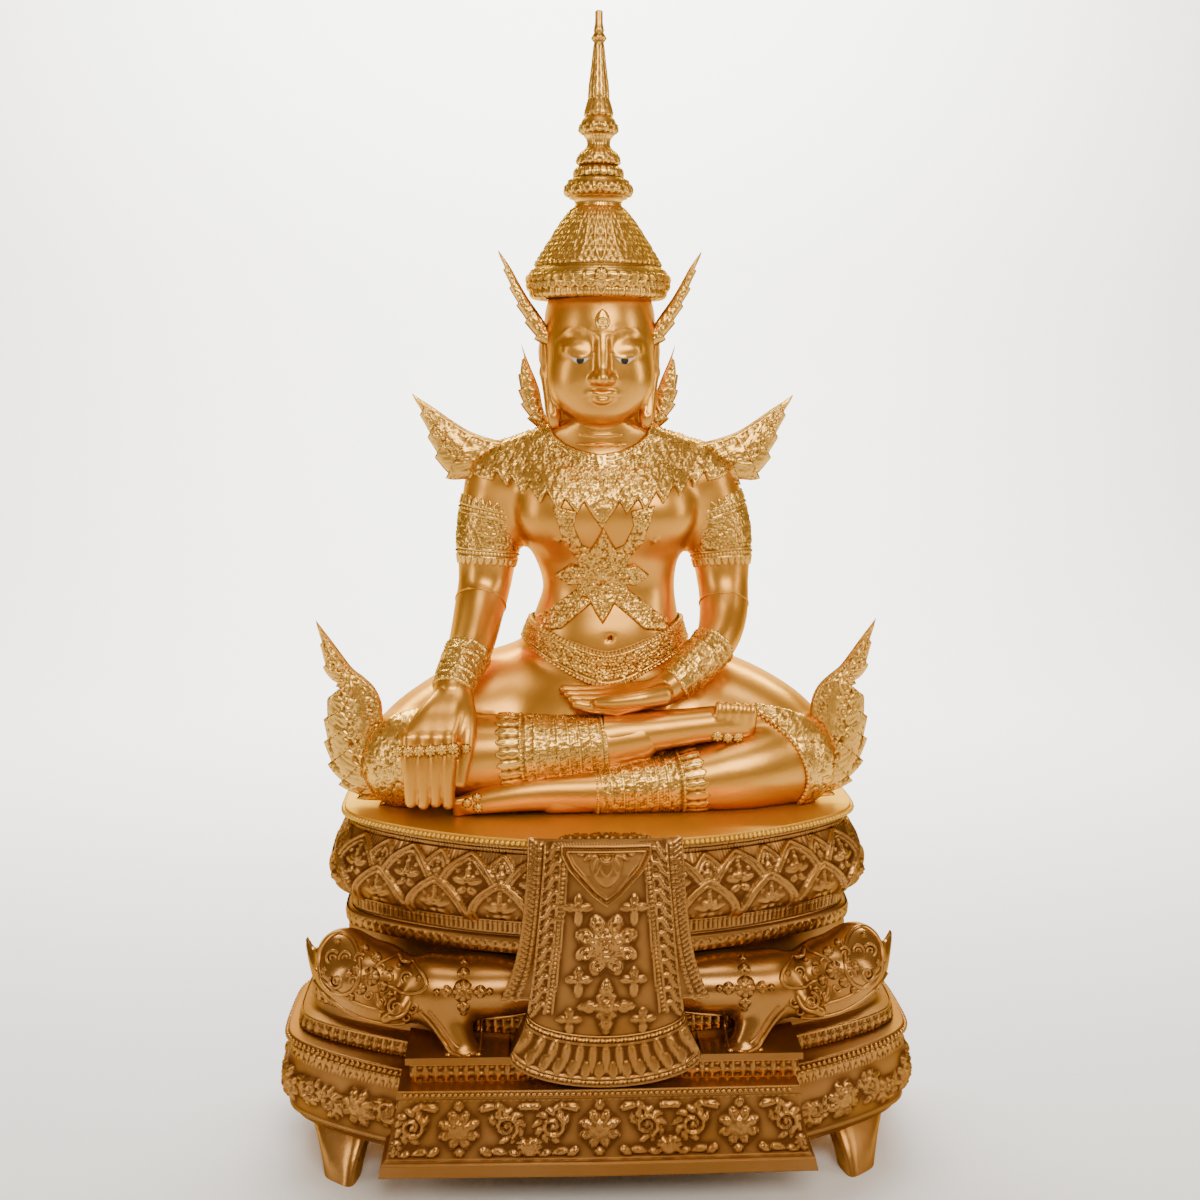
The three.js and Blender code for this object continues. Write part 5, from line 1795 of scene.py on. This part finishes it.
class STATUE_OT_plinth(bpy.types.Operator):
    """The tiers of the plinth, its seat and its feet"""
    bl_idname = "statue.plinth"
    bl_label = "Plinth"

    def execute(self, context):
        pitch = context.scene.statue_plinth.bead_pitch / MM
        for name, courses in COURSES.items():
            stock = Stock()
            for course in courses:
                wall(stock, *course)
            if name == "base_tier":
                rim_beads(stock, 127.6, 336.4, 213.4, pitch * 1.25, 3.1, (BLOCK_X, 188))
            stock.piece(name, "plinth_gold", "gilded_plinth")

        stock = Stock()
        wall(stock, SEAT_EDGE, None, 4, 2)
        rim_beads(stock, 369.8, 272.2, 195.2, pitch, 2.9, (0, 60))
        ring = np.linspace(0, 1, 181)[:-1]
        inward = np.linspace(1, 0.02, 16)[:, None]
        seat = SEAT - 0.3 * (inward > 0.99)
        for sizes, z, flip in (((270, 193), seat, False), ((328, 205), UNDERSIDE, True)):
            x, y = plan_points(ring, *sizes)
            stock.sheet(np.stack([x * inward, y * inward, z + 0 * x * inward], -1), wrap=True, flip=flip)
        stock.piece("seat", "seat_gold", "gilded_plinth", ["plinth"])

        stock = Stock()
        low, top = np.array(FOOT_LOW, float), np.array(FOOT_TOP, float)
        for turn in ((1, 1, 1), (1, -1, 1), (-1, 1, 1), (-1, -1, 1)):
            rows = []
            for z in (0, 2, 8, 16, 24, 32, 40, 48):
                t = 0.6 * z / 48 + 0.4 * (z / 48) ** 3
                rows.append(rounded_quad(low * (1 - t) + top * t, 0.32, z))
            grid = np.array(rows) * turn
            middle = grid[0].mean(0)
            sole = np.stack([middle + (grid[0] - middle) * s for s in (0.02, 0.5, 1.0)])
            for part in (grid, sole):
                stock.sheet(part, wrap=True, flip=turn[0] * turn[1] < 0)
        stock.piece("feet_of_plinth", "plinth_gold", "gilded_plinth")
        return {"FINISHED"}


def rounded_quad(corners, soft, z, per=5):
    """Four corners of a plan outline, each rounded off."""
    out = []
    for k in range(4):
        here, before, after = corners[k], corners[k - 1], corners[(k + 1) % 4]
        a, b = here + (before - here) * soft, here + (after - here) * soft
        for t in np.linspace(0, 1, per):
            p = (1 - t) ** 2 * a + 2 * t * (1 - t) * here + t ** 2 * b
            out.append((p[0], p[1], z))
    return out


def close_behind(stock, face, sy, level, upright):
    """The plain top, underside and ends behind a front or back face."""
    front, back = sy > 0, PLATFORM_BACK * sy
    for edge, count, flip in ((face[-1], level, not front), (face[0], level, front),
                              (face[:, 0], upright, front), (face[:, -1], upright, not front)):
        stock.bridge(edge, back, count, flip)


def slab(stock, wide, y0, z0, z1, sy):
    """A level slab of the platform, with small arches if it is tall enough."""
    front = sy > 0
    step = spaced(1.5) if front else 8.0
    x = np.linspace(-wide, wide, int(2 * wide / step))[None, :]
    z = np.linspace(z0, z1, max(3, int((z1 - z0) / 1.3)))[:, None]
    high = np.zeros((z.shape[0], x.shape[1]))
    if front:
        relief = Relief(2 * wide, z1 - z0)
        if z1 - z0 > 10:
            draw_arcade(relief)
        high = relief.read(x + wide, z - z0) * ease((wide - np.abs(x)) / 2)
    face = np.stack([x + 0 * z, (y0 - high) * sy, z + 0 * x], -1)
    stock.sheet(face, high / 3.5, flip=not front)
    close_behind(stock, face, sy, 6, 5)


# The block's face from its foot up: height and how far it stands back
BLOCK_PROFILE = [(42, 0), (43, -1), (55, -1), (56.5, 0.5), (58.5, 5.5), (60, 6), (119, 6), (121, 5.5),
                 (123, 0.5), (124, 0), (131, 0), (132, 1)]


class STATUE_OT_block(bpy.types.Operator):
    """The carved front and back blocks and the platforms behind them"""
    bl_idname = "statue.block"
    bl_label = "Block and platform"

    def execute(self, context):
        stock = Stock()
        heights, sets = np.array(BLOCK_PROFILE, float).T
        relief = Relief(440, 66)
        for x in (-138, 0, 138):
            scroll_panel(relief, 220 + x, 31, 70, 60, 8.0)
        relief.beads(62.5, 6.5, 2.2, 3.0)
        for sy in (1, -1):
            front = sy > 0
            step = spaced(1.5) if front else 8.0
            z = np.unique(np.r_[np.arange(42, 132, step), heights])
            back = np.interp(z, heights, sets)
            half = 217 + (197 - 217) * (z - 42) / 90 - back * 0.5
            s = np.linspace(-1, 1, int(430 / step))
            x = half[:, None] * s[None, :]
            high = np.zeros_like(x)
            if front:
                inside = ease((z - 60) / 2)[:, None] * ease((120 - z) / 2)[:, None]
                inside = inside * ease((half[:, None] - np.abs(x) - 1) / 4)
                high = relief.read(x + 220, np.clip(z - 58, 0, 64)[:, None] + 0 * x) * inside
            y = BLOCK_FRONT + back[:, None] + 3 * np.abs(s)[None, :] - high
            face = np.stack([BLOCK_X + x, y * sy, z[:, None] + 0 * x], -1)
            stock.sheet(face, high / 5, flip=not front)
            close_behind(stock, face, sy, 10, 8)
            slab(stock, 193, -198, 131, 151, sy)
            slab(stock, 197, -202, 151, 158, sy)
        x = np.arange(-190, 191, context.scene.statue_plinth.bead_pitch / MM * 1.05)
        stock.balls(np.stack([BLOCK_X + x, BLOCK_FRONT + 0.2 + 3 * np.abs(x) / 197, 0 * x + 127.8], 1), 2.9)
        stock.piece("block", "plinth_gold", "gilded_plinth")
        return {"FINISHED"}


CLOTH_BACK = -140.0
# Front cloth: height, half width, front y
CLOTH = [(375, 60, -200), (345, 62, -209), (300, 66, -213), (250, 71, -214), (207, 77, -215)]
UNDERCLOTH = [(376, 76, -195), (345, 77, -203), (300, 81, -206), (262, 87, -206), (238, 94, -206.5),
              (216, 103, -207)]
FLAP = [(-46, 375), (46, 375), (45.5, 363), (38, 349), (16, 325), (0, 313), (-16, 325), (-38, 349),
        (-45.5, 363)]


def sprig(relief, x, y, radius, high):
    """A small four-petalled flower, longer below."""
    for angle, long in ((0, 1.0), (90, 1.0), (180, 1.5), (270, 1.0)):
        dx, dy = polar(angle, 0.28 * radius)
        relief.leaf(x + dx, y + dy, radius * 0.85 * long, radius * 0.72, angle, high * 0.8, rib=0.5)
    relief.ring(x, y, radius * 0.3, radius * 0.1, high)
    relief.dome(x, y, radius * 0.2, high * 1.2)


def draw_cloth(relief, middle=90, low=180):
    """The upper part of the cloth: leaf-striped sides, bead columns and flowers."""
    heights, halves, _ = np.array(CLOTH[::-1], float).T
    for side in (-1, 1):
        for inset, wide in ((1.4, 2.4), (17, 2.2), (24, 1.6)):
            relief.line([(middle + side * (h - inset), z - low) for z, h, _ in CLOTH], wide, 2.8)
        for z in np.arange(209, 377, 4.4):
            relief.dome(middle + side * (np.interp(z, heights, halves) - 20.5), z - low, 2.0, 3.4)
        for z in np.arange(206, 372, 14.0):
            root = middle + side * (np.interp(z, heights, halves) - 15.5)
            stripe = [(root + side * u, z + v - low)
                      for u, v in ((0, 10), (3, 9.5), (6, 5), (9, 0), (12.5, -3))]
            for rise, wide, high in ((0, 6.0, 2.8), (1, 1.6, 3.8), (6.5, 1.4, 1.8)):
                relief.line([(x, y + rise) for x, y in stripe], wide, high, taper=rise == 0)
        for x, z, radius, high in ((27, 313, 11.5, 4.4), (27, 241, 11.5, 4.4), (36, 201, 11, 4.0)):
            sprig(relief, middle + side * x, z - low, radius, high)
    rosette(relief, middle, 276 - low, 32, 6.5)
    rosette(relief, middle, 214 - low, 15, 6.0, petals=6)
    for angle in range(0, 360, 90):
        dx, dy = polar(angle, 17)
        spot = (middle + dx, 214 + dy - low)
        relief.dome(*spot, 5.4, 3.6)
        relief.ring(*spot, 4.6, 1.2, 4.8)
        relief.dome(*spot, 1.8, 5.4)
        relief.leaf(*spot, 11, 9, angle, 4.2)


def draw_fringe(relief):
    """The beaded band, the leaf-shaped pleats and the beaded hem, from the band down."""
    wide, tall, count = relief.width, relief.height, 13
    pitch = wide / count
    for y, thick, high in ((1.0, 1.9, 3.0), (9.4, 1.9, 3.0), (tall - 1.2, 2.0, 3.2), (tall - 8.6, 2.0, 3.2)):
        relief.line([(0, y), (wide, y)], thick, high)
    relief.beads(5.2, 4.6, 2.0, 3.6)
    relief.beads(tall - 4.9, 4.6, 2.1, 4.0)
    for k in range(count):
        x = (k + 0.5) * pitch
        lean = (x / wide - 0.5) * 30
        for long, share, high, rib in ((1.05, 0.98, 1.8, 0.0), (0.92, 0.6, 3.6, 0.0), (0.74, 0.26, 5.2, 0.5)):
            relief.leaf(x, 10.2, (tall - 21) * long, pitch * share, lean, high, rib=rib)
        relief.leaf(x + pitch / 2, tall - 10, 15, 11, 180, 3.8, rib=0.3)


def draw_undercloth(relief, heights, halves, middle=110, low=212):
    """A bead column and a striped edge down each side, and a hem."""
    for side in (-1, 1):
        edge = [(middle + side * (h - 1.2), z - low) for z, h in zip(heights[::-8], halves[::-8])]
        relief.line(edge, 2.0, 1.8)
        for z in np.arange(216, 374, 4.4):
            half = np.interp(z, heights, halves)
            relief.dome(middle + side * (half - 12.5 - 0.1 * (half - 76)), z - low, 2.0, 2.6)
        for z in np.arange(214, 374, 4.6):
            half = np.interp(z, heights, halves)
            relief.line([(middle + side * (half - 9), z - low), (middle + side * (half - 2.5), z + 5 - low)],
                        2.4, 1.8)
    relief.line([(0, 5.5), (relief.width, 5.5)], 2.4, 2.0)


def draw_pendant(relief, x=50, y=64):
    """A ringed boss over a stepped leaf, between small leaves and curls."""
    for share, high in ((1.0, 3.0), (0.72, 5.4), (0.42, 8.0)):
        relief.leaf(x, y + 8, 40 * share, 32 * share, 180, high, rib=0.0)
    relief.ring(x, y, 6.5, 1.8, 8.5)
    relief.dome(x, y, 3.2, 9.0)
    for side in (-1, 1):
        relief.leaf(x + side * 5, y - 4, 16, 9, side * 140, 5.0, bend=side * 0.3)
        relief.leaf(x + side * 7, y + 2, 16, 8, side * 104, 4.4, bend=side * 0.3)
        relief.curl(x + side * 25, y + 2, 5, 90, side * 1.3, 3.0, 4.0)


def hang(stock, grid, high):
    """A face of the cloth with its sides closed back to the block."""
    stock.sheet(grid, high / 3.5, flip=True)
    for column, flip in ((0, False), (-1, True)):
        edge = grid[:, column]
        back = np.where(edge[:, 2] > SEAT - 6, edge[:, 1] + 4, CLOTH_BACK)
        stock.bridge(edge, back, 5, flip, narrow=0.93)


class STATUE_OT_cloth(bpy.types.Operator):
    """The cast cloth that hangs down the front, over a wider one"""
    bl_idname = "statue.cloth"
    bl_label = "Hanging cloth"

    def execute(self, context):
        stock = Stock()
        rows = smooth_rows(CLOTH, 40)
        across = np.linspace(-1, 1, 96)
        bow = np.sqrt(1 - across ** 2 * 0.999)
        band, hem = 207 - 22 * bow, 164 - 30 * bow
        relief = Relief(180, 205, grain=0.6)
        draw_cloth(relief)
        share = np.linspace(0, 1, 124)[:, None]
        z = rows[0][0] + (band[None, :] - rows[0][0]) * share
        half, front = (np.interp(-z, -rows[:, 0], rows[:, k]) for k in (1, 2))
        x = np.where(z < 207, 77, half) * across[None, :]
        high = relief.read(x + 90, z - 180) * ease((379 - z) / 3 + 0.2)
        hang(stock, np.stack([x, front + 6 * across ** 2 - 1 - high, z], -1), high)

        relief = Relief(190, 50.0, grain=0.6)
        draw_fringe(relief)
        share = np.linspace(0, 1, 44)[:, None]
        z = band[None, :] + (hem - band)[None, :] * share
        x = (77 + 18 * share ** 1.4) * across[None, :]
        high = relief.read((across[None, :] + 1) * 95 + 0 * z, share * relief.height + 0 * x)
        lower = np.stack([x, -216 - 5 * share + 6 * across[None, :] ** 2 - high, z], -1)
        hang(stock, lower, high)
        stock.bridge(lower[-1], CLOTH_BACK, 6, True)

        heights, halves, fronts = smooth_rows(UNDERCLOTH, 40)[::-1].T
        relief = Relief(220, 170, grain=0.6)
        draw_undercloth(relief, heights, halves)
        share = np.linspace(0, 1, 90)[:, None]
        z = 376 + (216 - 4 * (1 - across ** 2)[None, :] - 376) * share
        x = np.interp(z, heights, halves) * across[None, :]
        high = relief.read(x + 110, z - 212)
        under = np.stack([x, np.interp(z, heights, fronts) + 7 * across ** 2 - high, z], -1)
        hang(stock, under, high)
        stock.bridge(under[-1], CLOTH_BACK, 6, True)
        stock.piece("cloth", "plinth_gold", "gilded_plinth")

        stock = Stock()
        x, z = np.meshgrid(np.arange(-48, 48.5, 0.9), np.arange(302, 376, 0.9))
        away = inside_distance(x, z, np.array(FLAP, float))
        away = np.where(z > 373, np.maximum(away, 4), away)
        lift = 4.6 * ease(away / 2.0) + 3.4 * np.exp(-((away - 2.6) / 1.3) ** 2)
        lift += 3.0 * np.exp(-((away - 7.6) / 1.2) ** 2)
        lift += 0.5 * np.sin(x * 2.2 + z * 1.4) * np.exp(-((away - 5.5) / 2) ** 2)
        relief = Relief(100, 80, grain=0.5)
        draw_pendant(relief)
        lift += relief.read(x + 50, z - 302) * ease((away - 9) / 2)
        y = np.interp(z, heights, np.interp(heights, [216, 300, 345, 376], [-215, -213, -209, -200.5]))
        y = y + 6 * (x / 62) ** 2 - lift
        stock.sheet(np.stack([x, y, z], -1), lift / 7 - 0.3, keep=away > -0.8, flip=True)
        relief = Relief(130, 40, grain=0.6)
        for k in range(-5, 6):
            relief.curl(65 + 9 * k, 20 + 3 * (k % 2), 5, 90 + 30 * k, 1.2 * (1 if k > 0 else -1), 3.2, 2.4)
            relief.leaf(65 + 9 * k + 4, 14, 12, 6.5, 60 * np.sign(k + 0.5), 2.6)
        x, y = np.meshgrid(np.arange(-50, 50.5, 1.0), np.arange(0, 27, 1.0))
        high = relief.read(x + 65, y + 6) * ease((1 - (x / 50) ** 2 - (y / 26) ** 2) * 6)
        stock.sheet(np.stack([x, -194 + y, SEAT - 0.3 + 1.6 * high], -1), high / 3)
        stock.piece("cloth_flap", "plinth_gold", "gilded_plinth")
        return {"FINISHED"}


# Elephants, lying at the corners

def elephant_field(front):
    """One lying elephant, with its trunk and mouth if it is a front one."""
    field = Field()
    field.blob((-120, -148, 212), (92, 41, 33), blend=10)
    field.blob((-176, -154, 212), (34, 32, 32), blend=14)
    field.blob((-240, -138, 222), (49, 39, 32), blend=14)
    field.blob((-262, -124, 238), (29, 28, 25), blend=12)
    field.chain([(-168, -158, 204, 27), (-156, -168, 186, 21), (-146, -177, 168, 16), (-141, -180, 158, 15)],
                blend=12)
    field.blob((-139, -184, 157), (20, 14, 6), blend=6)
    if front:
        field.chain([(-206, -164, 194, 17), (-236, -162, 197, 15), (-262, -153, 204, 12),
                     (-281, -139, 214, 9), (-292, -126, 226, 6.5), (-299, -114, 237, 4.5),
                     (-304, -106, 247, 2)], blend=12)
        field.chain([(-196, -176, 214, 7), (-202, -184, 202, 8), (-216, -186, 194, 6)], blend=6)
    return field


def spiral(stock, centre, facing, radius, thick, turns, start):
    """A rolled wire lying on a surface."""
    facing, right, up = facing_frame(facing, (0, 0, 1))
    t = np.linspace(0, 1, 22)
    a = math.radians(start) + 2 * math.pi * turns * t
    r = radius * (1 - 0.82 * t)
    path = np.array(centre, float) + (r * np.cos(a))[:, None] * right + (r * np.sin(a))[:, None] * up
    tube(stock, path, thick * (1 - 0.4 * t), sides=6, up=facing)


# Jewels of the left front elephant, by x and z. Ovals round the ears: half width and height, turn, thickness
EAR_RIMS = [(-203, 231, 27, 13, -10, 2.4), (-265, 237, 22, 25, 0, 2.6)]
# Facing, height, then radius and petals of each
ELEPHANT_FLOWERS = [
    ((-0.3, -1, 0.35), 3.0, [(-280, 232, 4, 5), (-254, 234, 4.5, 5), (-268, 256, 4, 5), (-205, 238, 3.5, 5),
                             (-184, 231, 4, 5)]),
    ((-0.25, -1, 0.35), 4.0, [(-232, 232, 9.5, 8), (-242, 221, 6.5, 6), (-228, 246, 6.5, 6),
                              (-221, 222, 6, 5), (-246, 238, 5.5, 5), (-240, 252, 5, 5),
                              (-252, 212, 5, 5), (-214, 212, 5.5, 5)]),
]
# Facing, thickness, then radius, first angle and turns of each
ELEPHANT_CURLS = [
    ((-0.3, -1, 0.3), 1.9, [(-272, 244, 8, 40, 1.6), (-258, 246, 7, 200, -1.6), (-266, 226, 8, 150, 1.6),
                            (-214, 231, 7, 60, 1.6), (-196, 230, 7, 240, -1.6)]),
    ((-0.2, -1, 0.3), 2.0, [(-244, 246, 6, 40, 1.4), (-222, 238, 6, 300, -1.4), (-234, 214, 6, 120, 1.4),
                            (-222, 206, 6, 30, -1.4), (-206, 206, 9, 90, 1.5), (-190, 204, 6, 200, 1.3),
                            (-248, 228, 5, 200, -1.3), (-196, 192, 6, 20, 1.3)]),
]
# Thickness, then the path of each raised line
ELEPHANT_STEMS = [
    (2.0, [(-290, 228), (-276, 221), (-258, 210), (-240, 203), (-222, 198), (-208, 198)]),
    (2.4, [(-292, 216), (-278, 207), (-258, 195), (-238, 187), (-216, 183), (-198, 184)]),
    (2.6, [(-226, 216), (-222, 204), (-210, 197), (-198, 200), (-192, 210)]),
    (2.6, [(-184, 200), (-175, 190), (-166, 178), (-158, 166), (-152, 160), (-142, 157)]),
    (1.9, [(-174, 201), (-166, 191), (-158, 180), (-151, 170), (-145, 165)]),
    (1.8, [(-124, 158), (-123, 170), (-122, 184), (-112, 187), (-96, 188), (-78, 190)]),
]


class STATUE_OT_elephants(bpy.types.Operator):
    """The elephants at the corners, with their ears, tusks and jewels"""
    bl_idname = "statue.elephants"
    bl_label = "Elephants"

    def execute(self, context):
        skins, jewels = Stock(), Stock()
        for front in (True, False):
            field = elephant_field(front)
            points, quads = field.skin((-318, -208, 146), (-36, -98, 280), 2.9 if front else 4.4)
            dressed = Stock()
            self.dress(dressed, field, front)
            for sx in (1, -1):
                turn = np.array([sx, 1 if front else -1, 1])
                flip = (sx < 0) != (not front)
                skins.add(points * turn, quads[:, ::-1] if flip else quads)
                for faces in dressed.faces:
                    jewels.add(np.vstack(dressed.points) * turn, faces[:, ::-1] if flip else faces,
                               np.concatenate(dressed.depth))
        skins.piece("elephants", "plinth_smooth", "gilded_plinth")
        jewels.piece("elephant_jewels", "plinth_gold", "gilded_plinth")
        return {"FINISHED"}

    def dress(self, stock, field, front):
        for oval in EAR_RIMS:
            self.loop(stock, field, *oval)
        if not front:
            return
        for facing, high, flowers in ELEPHANT_FLOWERS:
            for x, z, radius, petals in flowers:
                medal(stock, self.touch(field, x, z), facing, radius, high, petals)
        for facing, thick, curls in ELEPHANT_CURLS:
            for x, z, radius, start, turns in curls:
                spiral(stock, self.touch(field, x, z), facing, radius, thick, turns, start)
        for radius, path in ELEPHANT_STEMS:
            tube(stock, smooth_rows([self.touch(field, x, z) for x, z in path], 6), radius, sides=6)
        medal(stock, self.touch(field, -140, 220), (0, -1, 0.3), 11.5, 5, 8)
        for angle in range(0, 360, 90):
            for out, radius in ((17, 7.0), (26, 4.4)):
                dx, dz = polar(angle, out)
                medal(stock, self.touch(field, -140 + dx, 220 + 0.82 * dz), (0, -1, 0.3), radius, 3.6, 4)
        for k in range(4):
            stock.balls([(-155 + 10 * k, -196 + 2 * abs(k - 1.5), 156.5)], 4.2, around=10, down=6)

    def loop(self, stock, field, x, z, wide, tall, turn, radius):
        """A raised rim in an oval, laid on the surface."""
        turn = math.radians(turn)
        path = []
        for a in np.linspace(0, 2 * math.pi, 37):
            u, v = wide * math.cos(a), tall * math.sin(a)
            path.append(self.touch(field, x + u * math.cos(turn) - v * math.sin(turn),
                                   z + u * math.sin(turn) + v * math.cos(turn)))
        tube(stock, np.array(path), radius, sides=6)

    def touch(self, field, x, z):
        y = field.front(np.array([x]), np.array([z]), -230, -70)[0]
        return np.array([x, y if np.isfinite(y) else -165.0, z])


OPERATORS = [
    STATUE_OT_body, STATUE_OT_floor, STATUE_OT_head, STATUE_OT_hands, STATUE_OT_limb_jewels,
    STATUE_OT_breast_jewels, STATUE_OT_belt, STATUE_OT_knee_jewels, STATUE_OT_crown, STATUE_OT_flames,
    STATUE_OT_plinth, STATUE_OT_block, STATUE_OT_cloth, STATUE_OT_elephants,
]
GROUPS = {"statue_plinth": StatuePlinthSizes, "statue_figure": StatueFigureSizes,
          "statue_colours": StatueColours}


class STATUE_PT_panel(bpy.types.Panel):
    """The statue's pieces"""
    bl_idname = "STATUE_PT_panel"
    bl_label = "Statue"
    bl_space_type = "VIEW_3D"
    bl_region_type = "UI"
    bl_category = "Statue"

    def draw(self, context):
        for name, group in GROUPS.items():
            settings = getattr(context.scene, name)
            for key in group.__annotations__:
                self.layout.prop(settings, key)
        for operator in OPERATORS:
            self.layout.operator(operator.bl_idname)


def register():
    for thing in (*GROUPS.values(), *OPERATORS, STATUE_PT_panel):
        bpy.utils.register_class(thing)
    for name, group in GROUPS.items():
        setattr(bpy.types.Scene, name, bpy.props.PointerProperty(type=group))


def unregister():
    for name in GROUPS:
        delattr(bpy.types.Scene, name)
    for thing in (STATUE_PT_panel, *OPERATORS[::-1], *GROUPS.values()):
        bpy.utils.unregister_class(thing)


def main():
    register()
    for operator in OPERATORS:
        group, name = operator.bl_idname.split(".")
        getattr(getattr(bpy.ops, group), name)()
    plain = lambda box: [list(map(float, corner)) for corner in box]
    {"cad": plain(CAD_BOX), "visual": plain(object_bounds())}


if __name__ == "__main__":
    main()
